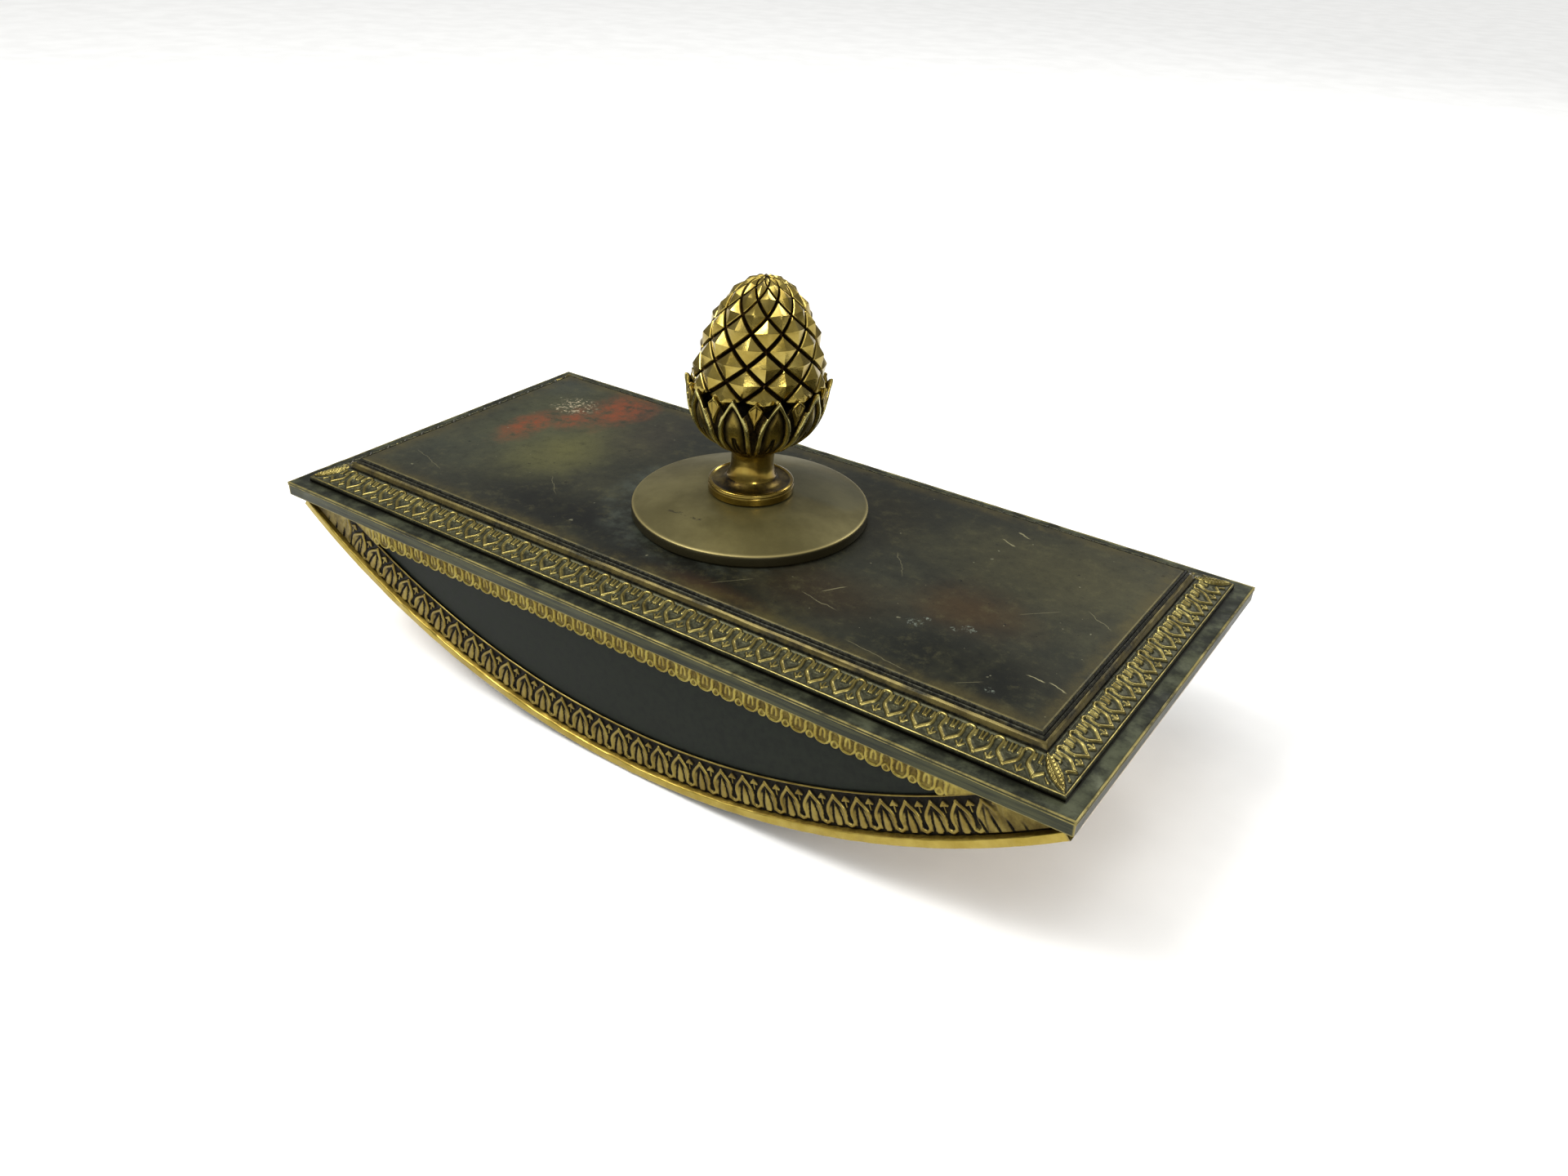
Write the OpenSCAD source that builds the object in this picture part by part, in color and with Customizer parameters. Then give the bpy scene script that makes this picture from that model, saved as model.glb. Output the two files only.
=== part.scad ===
// Rocker ink blotter in patinated and gilt bronze.
// X runs along the length, Y across it and Z up. The origin is at the middle of the lowest
// line of the blotting paper, on which the blotter stands.

/* [Cover] */
// Length of the cover plate
cover_l = 170; // [150:1:190]
// Width of the cover plate
cover_w = 81.6; // [76:0.2:90]
// Height of the plain fascia round the edge
fascia_h = 2.8; // [2:0.1:4]
// Width of the flat ledge outside the border
ledge_w = 3.1; // [2:0.1:4]
// Width of the ornamental border
border_w = 5.65; // [5:0.05:7]
// Height of the border's outer edge above the ledge
border_h_out = 0.9; // [0.5:0.1:1.4]
// Height of the border's inner edge above the ledge
border_h_in = 2.6; // [1.8:0.1:3.2]
// Width of the stepped moulding inside the border
moulding_w = 1.75; // [1.2:0.05:2.5]
// Height of the raised panel above the ledge
panel_h = 4.5; // [3.6:0.1:6]

/* [Rocker] */
// Radius of the curved underside at the gilt rims
rim_r = 142.2; // [136:0.2:150]
// Depth of the curve below the cover plate
rocker_h = 30.2; // [26:0.2:32]
// Distance from the cover's edge in to the face of the rims
side_inset = 2.3; // [1:0.1:4]
// Half length of the side walls
wall_half = 83.9; // [80:0.1:84.5]
// Thickness of the side walls
wall_t = 3; // [2.4:0.1:4]
// Height of the gilt rim, measured along the radius
rim_h = 1.9; // [1.4:0.1:2.5]
// Height of the lower leaf frieze, measured along the radius
low_frieze_h = 7.15; // [6:0.05:8]
// Height of the upper frieze under the cover
up_frieze_h = 5.4; // [4:0.1:7]

/* [Sole and paper] */
// Thickness of the blotting paper
paper_t = 0.5; // [0.3:0.05:0.7]
// How far the paper stands below the rims
paper_proud = 0.4; // [0.2:0.05:0.6]
// Thickness of the curved sole plate
sole_t = 1.5; // [1.2:0.1:2]
// Length of paper folded in over each end bar
paper_fold = 9; // [6:0.5:9]

/* [Handle] */
// Radius of the domed collar
collar_r = 22.4; // [18:0.2:26]
// Thickness of the collar at its edge
collar_edge = 2.3; // [1.6:0.1:3]
// Thickness of the collar under the finial's foot
collar_crown = 4.7; // [3.4:0.1:5.5]
// Radius of the finial's foot
foot_r = 8.05; // [7:0.05:9]
// Radius of the finial's stem at its waist
stem_r = 4; // [3.9:0.05:5]
// Largest radius of the leaf calyx
calyx_r = 12.95; // [12.9:0.05:14]
// Radius of the pinecone just above the calyx
cone_r = 12.3; // [11.9:0.1:12.9]
// Radius of the threaded stud
stud_r = 2.5; // [2:0.5:2.5]

/* [Hidden] */

arc_fn = 360;
round_fn = 96;
small_fn = 48;
slack = 0.05;         // radial clearance round every shank, pin and head
sink = 0.1;           // how far the sole screws' heads lie below the sole's face
over = 1;             // how far a cutter passes the face it cuts

// heights
arc_z = paper_proud + rim_r;             // centre of every curve of the underside
plate_z = paper_proud + rocker_h;        // underside of the cover plate
ledge_z = plate_z + fascia_h;
panel_z = ledge_z + panel_h;
collar_z = panel_z + collar_crown;       // seat of the finial
frieze_r_out = rim_r - rim_h;
frieze_r_in = frieze_r_out - low_frieze_h;
sole_r = arc_z - paper_t;                // outer face of the sole plate

// places across the width
rim_y = cover_w/2 - side_inset;          // outer face of the rims
rim_d = 1.1;                             // how far the rims stand off the wall
wall_y = rim_y - rim_d;                  // outer face of the side walls
inner_y = wall_y - wall_t;               // inner face of the side walls
low_frieze_d = 0.6;
up_frieze_d = 0.8;

// border of the cover
border_in = ledge_w + border_w;
panel_in = border_in + moulding_w;

// frame inside the rocker
bar_in = 74;                             // inner face of the end bars
paper_x = wall_half - 0.1;               // outer face of the paper's upturned ends
bar_out = paper_x - paper_t;
bridge_w = 14;
bridge_t = 6;
bridge_gap = 0.6;                        // between the bridge and the cover
bridge_z = plate_z - bridge_gap - bridge_t;
lug_w = 18;
lug_d = 7;
lug_h = 8;

// screws: shank radius, head radius, head height, length
frame_screw = [1.25, 2.3, 1.2, 8];
sole_screw = [1.25, 2.3, 1.1, 5];
bridge_screw = [1.5, 2.8, 1.5, 12];
frame_screw_x = 77;
frame_screw_z = plate_z - 3;
sole_screw_y = 20;
sole_screw_a = asin(78/sole_r);
bridge_screw_x = 4;
bridge_screw_y = inner_y - lug_d/2;

// locating pins of the cover
pin_r = 1.5;
pin_y = 22;
pin_below = 9;
pin_above = 5;
boss_r = 4;
hub_r = 9;
cavity_in = 6;                           // from the panel's edge to the cavity below it
roof_t = 3.3;

// stud, nut and thread engagement
stud_bottom = bridge_z - 7;
stud_top = ledge_z + 20;
stud_hole_r = stud_r + 0.5;
washer_t = 1;
nut_t = 4;
nut_flats = 8;

// finial, measured up from the ledge
foot_h = 2.1;
stem_top = ledge_z + 17.4;
calyx_floor = ledge_z + 22.6;
calyx_top = ledge_z + 30.6;
plug_r = 11.2;                           // part of the cone inside the calyx
cone_low = calyx_top + 0.6;
cone_tip = ledge_z + 49.2;

// radius of the cone at the fraction t of its height
function egg(t) = cone_r*sqrt(max(0, 1 - pow(t, 3.2)))*(1 - 0.22*t);

// the calyx swells from its neck to its rim along a quarter of an ellipse
calyx_neck_r = 4.9;
calyx_lip = 1.6;
calyx_bowl = calyx_top - calyx_lip - stem_top;
calyx_swell = [for (a = [0:10:90])
    [calyx_neck_r + (calyx_r - calyx_neck_r)*sin(a), calyx_top - calyx_lip - calyx_bowl*cos(a)]];

module rear() { mirror([0, 1, 0]) children(); }

// a plate of the given outline in X and Z, from y0 outwards to y0 - depth
module slab_xz(y0, depth) {
    translate([0, -y0, 0]) rotate([90, 0, 0]) linear_extrude(depth) children();
}

// the part below the cover of a disc whose centre is that of the underside
module rocker_outline(r) {
    intersection() {
        translate([0, arc_z]) circle(r = r, $fn = arc_fn);
        translate([-wall_half, 0]) square([2*wall_half, plate_z]);
    }
}

module rocker_band(r_out, r_in) {
    difference() {
        rocker_outline(r_out);
        translate([0, arc_z]) circle(r = r_in, $fn = arc_fn);
    }
}

// a countersunk screw along -Z with its head's face at the origin: [shank, head, head height, length]
module countersunk(s, gap = 0) {
    translate([0, 0, -s[3] - gap]) cylinder(r = s[0] + gap, h = s[3] + gap, $fn = small_fn);
    translate([0, 0, -s[2]]) cylinder(r1 = s[0] + gap, r2 = s[1] + gap, h = s[2], $fn = small_fn);
    if (gap > 0) cylinder(r = s[1] + gap, h = over, $fn = small_fn);
}

module screw_slot(s) {
    translate([-s[1] - over, -0.3, -0.4]) cube([2*s[1] + 2*over, 0.6, over]);
}

module place_frame_screws(sides = [-1, 1]) {
    for (sx = [-1, 1], sy = sides)
        translate([sx*frame_screw_x, sy*wall_y, frame_screw_z]) rotate([-sy*90, 0, 0]) children();
}

module place_sole_screws() {
    for (sx = [-1, 1], sy = [-1, 1])
        translate([0, sy*sole_screw_y, arc_z]) rotate([0, -sx*sole_screw_a, 0])
            translate([0, 0, sink - sole_r]) rotate([180, 0, 0]) children();
}

module place_bridge_screws() {
    for (sx = [-1, 1], sy = [-1, 1])
        translate([sx*bridge_screw_x, sy*bridge_screw_y, bridge_z + bridge_t]) children();
}

module side_wall() {
    difference() {
        union() {
            slab_xz(inner_y, wall_t) rocker_outline(rim_r);
            translate([-lug_w/2, -inner_y - over, bridge_z - lug_h]) cube([lug_w, lug_d + over, lug_h]);
        }
        place_frame_screws([-1]) countersunk(frame_screw, slack);
        place_bridge_screws() countersunk(bridge_screw, slack);
    }
}

module front_side_wall() { color([0.16, 0.17, 0.15]) side_wall(); }

module rear_side_wall() { color([0.16, 0.17, 0.15]) rear() side_wall(); }

module rim() { slab_xz(wall_y, rim_d) rocker_band(rim_r, frieze_r_out); }

module front_rim() { color([0.74, 0.66, 0.27]) rim(); }

module rear_rim() { color([0.74, 0.66, 0.27]) rear() rim(); }

module lower_frieze() { slab_xz(wall_y, low_frieze_d) rocker_band(frieze_r_out, frieze_r_in); }

module front_lower_frieze() { color([0.62, 0.54, 0.28]) lower_frieze(); }

module rear_lower_frieze() { color([0.62, 0.54, 0.28]) rear() lower_frieze(); }

module upper_frieze() {
    slab_xz(wall_y, up_frieze_d) intersection() {
        rocker_outline(frieze_r_in);
        translate([-wall_half, plate_z - up_frieze_h]) square([2*wall_half, up_frieze_h]);
    }
}

module front_upper_frieze() { color([0.66, 0.58, 0.31]) upper_frieze(); }

module rear_upper_frieze() { color([0.66, 0.58, 0.31]) rear() upper_frieze(); }

// a wedge that fills the corner between the sole plate and the cover
module end_bar() {
    difference() {
        translate([0, inner_y, 0]) rotate([90, 0, 0]) linear_extrude(2*inner_y) intersection() {
            translate([0, arc_z]) circle(r = sole_r - sole_t, $fn = arc_fn);
            translate([bar_in, 0]) square([bar_out - bar_in, plate_z - paper_t]);
        }
        place_frame_screws() countersunk(frame_screw, slack);
        place_sole_screws() countersunk(sole_screw, slack);
    }
}

module right_end_bar() { color([0.6, 0.5, 0.25]) end_bar(); }

module left_end_bar() { color([0.6, 0.5, 0.25]) mirror([1, 0, 0]) end_bar(); }

module bridge_bar() {
    color([0.6, 0.5, 0.25]) difference() {
        translate([-bridge_w/2, -inner_y, bridge_z]) cube([bridge_w, 2*inner_y, bridge_t]);
        translate([0, 0, bridge_z - over])
            cylinder(r = stud_r + slack, h = bridge_t + 2*over, $fn = small_fn);
        for (sy = [-1, 1]) translate([0, sy*pin_y, bridge_z - over])
            cylinder(r = pin_r + slack, h = bridge_t + 2*over, $fn = small_fn);
        place_bridge_screws() countersunk(bridge_screw, slack);
    }
}

module sole_plate() {
    color([0.65, 0.55, 0.28]) difference() {
        translate([0, inner_y, 0]) rotate([90, 0, 0]) linear_extrude(2*inner_y) intersection() {
            difference() {
                translate([0, arc_z]) circle(r = sole_r, $fn = arc_fn);
                translate([0, arc_z]) circle(r = sole_r - sole_t, $fn = arc_fn);
            }
            translate([-bar_out, 0]) square([2*bar_out, plate_z - paper_t]);
        }
        place_sole_screws() countersunk(sole_screw, slack);
    }
}

// one strip: the curved bottom, an upturned end at each side and a fold in over each end bar
module blotting_paper() {
    arc_end = arc_z - sqrt(pow(arc_z, 2) - pow(paper_x, 2));
    color([0.86, 0.8, 0.72])
    translate([0, inner_y, 0]) rotate([90, 0, 0]) linear_extrude(2*inner_y) {
        intersection() {
            difference() {
                translate([0, arc_z]) circle(r = arc_z, $fn = arc_fn);
                translate([0, arc_z]) circle(r = sole_r, $fn = arc_fn);
            }
            translate([-paper_x, 0]) square([2*paper_x, plate_z]);
        }
        for (s = [0, 1]) mirror([s, 0]) {
            translate([bar_out, arc_end]) square([paper_t, plate_z - arc_end]);
            translate([bar_out - paper_fold, plate_z - paper_t])
                square([paper_fold + paper_t, paper_t]);
        }
    }
}

module frame_screws() {
    color([0.7, 0.6, 0.35]) place_frame_screws() difference() {
        countersunk(frame_screw);
        screw_slot(frame_screw);
    }
}

module sole_screws() {
    color([0.7, 0.6, 0.35]) place_sole_screws() difference() {
        countersunk(sole_screw);
        screw_slot(sole_screw);
    }
}

module bridge_screws() {
    color([0.55, 0.55, 0.55]) place_bridge_screws() difference() {
        countersunk(bridge_screw);
        screw_slot(bridge_screw);
    }
}

module center_stud() {
    tip = 0.8;
    color([0.55, 0.55, 0.55]) translate([0, 0, stud_bottom]) {
        cylinder(r = stud_r, h = stud_top - stud_bottom - tip, $fn = small_fn);
        translate([0, 0, stud_top - stud_bottom - tip])
            cylinder(r1 = stud_r, r2 = stud_r - tip, h = tip, $fn = small_fn);
    }
}

module stud_washer() {
    color([0.6, 0.6, 0.6]) translate([0, 0, bridge_z - washer_t]) difference() {
        cylinder(r = nut_flats/2 + 1, h = washer_t, $fn = small_fn);
        translate([0, 0, -over]) cylinder(r = stud_r + slack, h = washer_t + 2*over, $fn = small_fn);
    }
}

module stud_nut() {
    color([0.55, 0.55, 0.55]) translate([0, 0, bridge_z - washer_t - nut_t]) difference() {
        cylinder(r = nut_flats/sqrt(3), h = nut_t, $fn = 6);
        translate([0, 0, -over]) cylinder(r = stud_r + slack, h = nut_t + 2*over, $fn = small_fn);
    }
}

module pin_places() { for (sy = [-1, 1]) translate([0, sy*pin_y, 0]) children(); }

// the plate is cast hollow under the raised panel, with a hub for the stud and two pin bosses
module cover_plate() {
    block_l = cover_l - 2*panel_in;
    block_w = cover_w - 2*panel_in;
    color([0.24, 0.24, 0.2]) difference() {
        union() {
            translate([-cover_l/2, -cover_w/2, plate_z]) cube([cover_l, cover_w, fascia_h]);
            translate([-block_l/2, -block_w/2, plate_z]) cube([block_l, block_w, panel_z - plate_z]);
        }
        difference() {
            translate([-block_l/2 + cavity_in, -block_w/2 + cavity_in, plate_z - over])
                cube([block_l - 2*cavity_in, block_w - 2*cavity_in, panel_z - plate_z - roof_t + over]);
            translate([0, 0, plate_z]) cylinder(r = hub_r, h = panel_z - plate_z, $fn = round_fn);
            pin_places() translate([0, 0, plate_z])
                cylinder(r = boss_r, h = panel_z - plate_z, $fn = small_fn);
        }
        translate([0, 0, plate_z - over])
            cylinder(r = stud_hole_r, h = panel_z - plate_z + 2*over, $fn = small_fn);
        pin_places() translate([0, 0, plate_z - over])
            cylinder(r = pin_r, h = pin_above + over, $fn = small_fn);
    }
}

// section of the border: a low step at its outer edge and a slope up to the moulding
module border_section() {
    polygon([[0, 0], [0, border_h_out], [border_w, border_h_in], [border_w, 0]]);
}

// a straight length of border along X, with its outer edge on Y = 0
module border_strip(length) {
    translate([-length/2, 0, 0]) rotate([90, 0, 90]) linear_extrude(length) border_section();
}

module border_long() {
    translate([0, -cover_w/2 + ledge_w, ledge_z]) border_strip(cover_l - 2*border_in);
}

module border_short() {
    translate([cover_l/2 - ledge_w, 0, ledge_z]) rotate([0, 0, 90])
        border_strip(cover_w - 2*border_in);
}

module front_border() { color([0.5, 0.46, 0.28]) border_long(); }

module rear_border() { color([0.5, 0.46, 0.28]) rear() border_long(); }

module right_border() { color([0.5, 0.46, 0.28]) border_short(); }

module left_border() { color([0.5, 0.46, 0.28]) mirror([1, 0, 0]) border_short(); }

// four separate mitred corner castings
module corner_leaves() {
    color([0.66, 0.56, 0.28])
    for (sx = [0, 1], sy = [0, 1]) mirror([sx, 0, 0]) mirror([0, sy, 0])
        translate([-cover_l/2 + ledge_w, -cover_w/2 + ledge_w, ledge_z]) intersection() {
            translate([border_w/2, 0, 0]) border_strip(border_w);
            translate([0, border_w/2, 0]) rotate([0, 0, -90]) border_strip(border_w);
        }
}

module frame_outline(inset) {
    square([cover_l - 2*inset, cover_w - 2*inset], center = true);
}

// two steps that rise from the border to the panel
module panel_moulding() {
    step = moulding_w/2;
    mid = (border_h_in + panel_h)/2;
    color([0.45, 0.42, 0.3]) translate([0, 0, ledge_z]) {
        linear_extrude(mid) difference() {
            frame_outline(border_in);
            frame_outline(panel_in);
        }
        linear_extrude(panel_h) difference() {
            frame_outline(border_in + step);
            frame_outline(panel_in);
        }
    }
}

module locating_pins() {
    color([0.6, 0.6, 0.6]) pin_places() translate([0, 0, plate_z - pin_below])
        cylinder(r = pin_r, h = pin_below + pin_above, $fn = small_fn);
}

// a turned disc, domed from its edge up to the finial's seat
module collar_disc() {
    chamfer = 0.4;
    dome = [for (t = [0:0.2:1]) [
        collar_r - chamfer - t*(collar_r - chamfer - foot_r),
        collar_edge + (collar_crown - collar_edge)*sin(90*t)
    ]];
    color([0.44, 0.42, 0.28]) translate([0, 0, panel_z]) rotate_extrude($fn = round_fn)
        polygon(concat(
            [[stud_hole_r, 0], [collar_r, 0], [collar_r, collar_edge - chamfer]],
            dome,
            [[stud_hole_r, collar_crown]]
        ));
}

// a foot ring, a cove and a waisted stem
module finial_stem() {
    cove_top = collar_z + 4.2;
    waist = [for (t = [0:0.25:1]) [
        stem_r + 0.25*pow(2*t - 1, 2), cove_top + t*(stem_top - 0.9 - cove_top)
    ]];
    color([0.65, 0.55, 0.22]) rotate_extrude($fn = round_fn) difference() {
        polygon(concat(
            [[0, collar_z], [foot_r, collar_z], [foot_r, collar_z + foot_h - 0.7],
             [foot_r - 0.7, collar_z + foot_h], [stem_r + 1.2, collar_z + foot_h + 0.7]],
            waist,
            [[calyx_neck_r, stem_top], [0, stem_top]]
        ));
        translate([-over, collar_z - over]) square([stud_r + slack + over, stem_top - collar_z + 2*over]);
    }
}

// section of the space inside the calyx that the cone fills
module plug_section() {
    polygon([[0, calyx_floor], [plug_r - 1.9, calyx_floor], [plug_r, calyx_floor + 4.4],
             [plug_r, cone_low], [0, cone_low]]);
}

module leaf_calyx() {
    color([0.62, 0.53, 0.22]) rotate_extrude($fn = round_fn) difference() {
        polygon(concat([[0, stem_top]], calyx_swell, [[calyx_r, calyx_top], [0, calyx_top]]));
        plug_section();
        translate([-over, stem_top - over])
            square([stud_r + slack + over, calyx_floor - stem_top + 2*over]);
    }
}

module pinecone() {
    profile = [for (t = [0:0.0625:1]) [egg(t), cone_low + t*(cone_tip - cone_low)]];
    color([0.65, 0.55, 0.22]) rotate_extrude($fn = round_fn) {
        polygon(concat([[0, cone_low]], profile));
        plug_section();
    }
}

front_side_wall();
rear_side_wall();
front_rim();
rear_rim();
front_lower_frieze();
rear_lower_frieze();
front_upper_frieze();
rear_upper_frieze();
left_end_bar();
right_end_bar();
bridge_bar();
sole_plate();
blotting_paper();
frame_screws();
sole_screws();
bridge_screws();
center_stud();
stud_washer();
stud_nut();
cover_plate();
front_border();
rear_border();
left_border();
right_border();
corner_leaves();
panel_moulding();
locating_pins();
collar_disc();
finial_stem();
leaf_calyx();
pinecone();
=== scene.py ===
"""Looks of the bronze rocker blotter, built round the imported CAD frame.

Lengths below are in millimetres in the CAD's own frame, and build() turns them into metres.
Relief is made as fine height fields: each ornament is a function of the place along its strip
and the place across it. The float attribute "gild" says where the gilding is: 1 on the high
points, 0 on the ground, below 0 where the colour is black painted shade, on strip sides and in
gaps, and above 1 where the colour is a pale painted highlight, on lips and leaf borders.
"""
import math

import bmesh
import bpy
import numpy as np
from mathutils import Matrix, Vector


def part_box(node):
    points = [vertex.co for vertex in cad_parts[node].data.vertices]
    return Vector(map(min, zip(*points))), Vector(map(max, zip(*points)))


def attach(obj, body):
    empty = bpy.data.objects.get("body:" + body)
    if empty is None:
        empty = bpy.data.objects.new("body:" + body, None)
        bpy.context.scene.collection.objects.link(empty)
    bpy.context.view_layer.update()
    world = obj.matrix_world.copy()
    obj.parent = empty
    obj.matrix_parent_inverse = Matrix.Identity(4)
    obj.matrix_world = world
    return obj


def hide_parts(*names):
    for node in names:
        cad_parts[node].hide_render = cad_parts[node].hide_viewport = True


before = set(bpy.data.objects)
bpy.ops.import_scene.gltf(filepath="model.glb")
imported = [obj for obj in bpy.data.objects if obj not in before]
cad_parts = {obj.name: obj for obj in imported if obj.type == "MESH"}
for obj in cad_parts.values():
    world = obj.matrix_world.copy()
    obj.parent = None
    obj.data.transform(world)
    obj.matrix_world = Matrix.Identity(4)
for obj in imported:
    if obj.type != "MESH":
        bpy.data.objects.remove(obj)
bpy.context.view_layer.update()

MM = 0.001
rng = np.random.default_rng(7)


# ---------------------------------------------------------------- measures from the frame

def box_mm(node):
    low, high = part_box(node)
    return np.array(low) / MM, np.array(high) / MM


def span(node, axis):
    low, high = box_mm(node)
    return low[axis], high[axis]


PLATE_Z, PANEL_Z = span("cover_plate", 2)
LEDGE_Z = span("front_border", 2)[0]
HALF_L, HALF_W = box_mm("cover_plate")[1][:2]
BORDER_OUT = HALF_W + span("front_border", 1)[0]        # inset of the border's outer edge
BORDER_IN = HALF_W + span("front_border", 1)[1]
PANEL_IN = 10.5                       # inset of the raised panel's edge
BORDER_W = BORDER_IN - BORDER_OUT
BORDER_LOW, BORDER_HIGH = 0.9, span("front_border", 2)[1] - LEDGE_Z
BED = 0.02                            # ornament starts this far inside the face that it sits on
SUNK = 0.2                            # how far the ground of the relief lies below the CAD's strip

RIM_R = 142.2                         # radius of the curved underside at the rims
RIM_H = 1.9                           # height of a rim, measured along the radius
PAPER_PROUD = span("front_rim", 2)[0]
ARC_Z = PAPER_PROUD + RIM_R
RIM_Y = -span("front_rim", 1)[0]
WALL_Y = -span("front_rim", 1)[1]
WALL_HALF = span("front_rim", 0)[1]
FRIEZE_OUT = RIM_R - RIM_H
FRIEZE_H = 7.15                       # height of the lower frieze, along the radius
FRIEZE_IN = FRIEZE_OUT - FRIEZE_H
UP_FRIEZE_H = PLATE_Z - span("front_upper_frieze", 2)[0]

PIN_Y = 22.0                          # the locating pins stand at this distance in front and behind
CAVITY_MARGIN = 6.0                   # casting left round the cavity, inside the panel's edge
CAVITY_ROOF = 3.3                     # thickness of the panel over the cavity
HUB_R, BOSS_R, STUD_HOLE_R, PIN_HOLE_R = 9.0, 4.0, 3.0, 1.5
BORE_R = 2.55                         # the tapped hole of the handle
LEAN = (0.037, 0.026)                 # slope of the handle to the right and to the rear
COLLAR_R = span("collar_disc", 0)[1]
COLLAR_Z = span("finial_stem", 2)[0]
FOOT_R = span("finial_stem", 0)[1]
STEM_TOP = span("finial_stem", 2)[1]
CALYX_TOP = span("leaf_calyx", 2)[1]
CONE_TIP = span("pinecone", 2)[1]
CONE_LOW = CALYX_TOP + 0.6
CONE_R, CONE_RISE = 11.3, 0.55        # radius at the cone's base, and its tip above the CAD's
LEAVES = 10                           # leaves round the cup, and scales in each row of the cone
SCALE_PITCH, SCALE_START = 2.9, 3.1   # between the rows, and of the first row below the cone
TURN_STEPS = 192                      # facets round a turned piece


# ---------------------------------------------------------------- mesh tools

def build(name, points, faces, gild=None, soft=True):
    """A mesh object from points in millimetres and arrays of faces, each array of one size."""
    mesh = bpy.data.meshes.new(name)
    corners = np.concatenate([np.asarray(f).ravel() for f in faces]).astype(np.int32)
    sizes = np.concatenate([np.full(len(f), np.asarray(f).shape[1]) for f in faces])
    starts = np.concatenate([[0], np.cumsum(sizes)[:-1]]).astype(np.int32)
    mesh.vertices.add(len(points))
    mesh.vertices.foreach_set("co", (np.asarray(points) * MM).astype(np.float32).ravel())
    mesh.loops.add(len(corners))
    mesh.loops.foreach_set("vertex_index", corners)
    mesh.polygons.add(len(sizes))
    mesh.polygons.foreach_set("loop_start", starts)
    mesh.update(calc_edges=True)
    mesh.polygons.foreach_set("use_smooth", np.full(len(sizes), soft))
    if gild is not None:
        layer = mesh.attributes.new("gild", "FLOAT", "POINT")
        layer.data.foreach_set("value", np.asarray(gild, np.float32).ravel())
    obj = bpy.data.objects.new(name, mesh)
    bpy.context.scene.collection.objects.link(obj)
    return obj


def sharpen(obj, degrees):
    obj.data.set_sharp_from_angle(angle=math.radians(degrees))


def grid_quads(n_u, n_v, close_u=False, close_v=False):
    i = np.arange(n_u if close_u else n_u - 1)
    j = np.arange(n_v if close_v else n_v - 1)
    a, b = np.meshgrid(i, j, indexing="ij")
    a1, b1 = (a + 1) % n_u, (b + 1) % n_v
    return np.stack([a * n_v + b, a1 * n_v + b, a1 * n_v + b1, a * n_v + b1], -1).reshape(-1, 4)


def tube_faces(n_u, n):
    """Faces of a tube of n_u rings with n points each, with its two ends."""
    ends = np.stack([np.arange(n)[::-1], (n_u - 1) * n + np.arange(n)])
    return [grid_quads(n_u, n, close_v=True), ends]


def turned_faces(n_u, n):
    """Faces of a turned surface, closed by the two points that follow it on the axis."""
    i = np.arange(n_u)
    after = (i + 1) % n_u
    return [grid_quads(n_u, n, close_u=True),
            np.stack([np.full(n_u, n_u * n), after * n, i * n], -1),
            np.stack([np.full(n_u, n_u * n + 1), i * n + n - 1, after * n + n - 1], -1)]


def grid(u, v):
    """Two arrays of len(u) x len(v), one that holds u and one that holds v."""
    return np.meshgrid(u, v, indexing="ij")


def turned(outline, steps):
    """Points of a turned surface, steps x n x 3, from its outline of (radius, height)."""
    angle = np.linspace(0, 2 * np.pi, steps, endpoint=False)
    r, z = outline.T
    return np.stack([np.outer(np.cos(angle), r), np.outer(np.sin(angle), r),
                     np.broadcast_to(z, (steps, len(z)))], -1)


def strip_solid(name, top, base, gild):
    """A closed strip: top is a grid of points (n_u, n_v, 3), base two rows (n_u, 2, 3) that lie
    under its first and last edge."""
    n_u, n_v = top.shape[:2]
    ring = np.concatenate([base[:, :1], top, base[:, 1:]], axis=1)
    # The strip's two side walls get gild -1, which turns them black: painted shade on the sides.
    marks = np.concatenate([gild[:, :1] * 0 - 1, gild, gild[:, -1:] * 0 - 1], axis=1)
    return build(name, ring.reshape(-1, 3), tube_faces(n_u, n_v + 2), marks)


def flip_if_inside_out(obj):
    """Turns the faces outwards, judged by the enclosed volume."""
    mesh = obj.data
    mesh.calc_loop_triangles()
    co = np.empty(len(mesh.vertices) * 3, np.float32)
    mesh.vertices.foreach_get("co", co)
    tri = np.empty(len(mesh.loop_triangles) * 3, np.int32)
    mesh.loop_triangles.foreach_get("vertices", tri)
    p = co.reshape(-1, 3)[tri.reshape(-1, 3)].astype(float)
    if np.einsum("ij,ij->i", p[:, 0], np.cross(p[:, 1], p[:, 2])).sum() < 0:
        mesh.flip_normals()


def lathe(name, profile, steps):
    """A turned solid from (radius, height) points that run from axis to axis."""
    profile = np.asarray(profile, float)
    n = len(profile) - 2
    ring = turned(profile[1:-1], steps)
    points = np.concatenate([ring.reshape(-1, 3), [[0, 0, profile[0, 1]], [0, 0, profile[-1, 1]]]])
    obj = build(name, points, turned_faces(steps, n))
    flip_if_inside_out(obj)
    return obj


def rounded(points, radius, steps):
    """The outline with each inner corner replaced by an arc of about that radius."""
    points = [np.array(p, float) for p in points]
    out = [points[0]]
    for before, here, after in zip(points, points[1:], points[2:]):
        a, b = before - here, after - here
        reach = min(radius, 0.45 * np.linalg.norm(a), 0.45 * np.linalg.norm(b))
        start = here + a / np.linalg.norm(a) * reach
        end = here + b / np.linalg.norm(b) * reach
        for t in np.linspace(0, 1, steps + 1):
            out.append((1 - t) ** 2 * start + 2 * t * (1 - t) * here + t * t * end)
    out.append(points[-1])
    return np.array(out)


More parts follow.
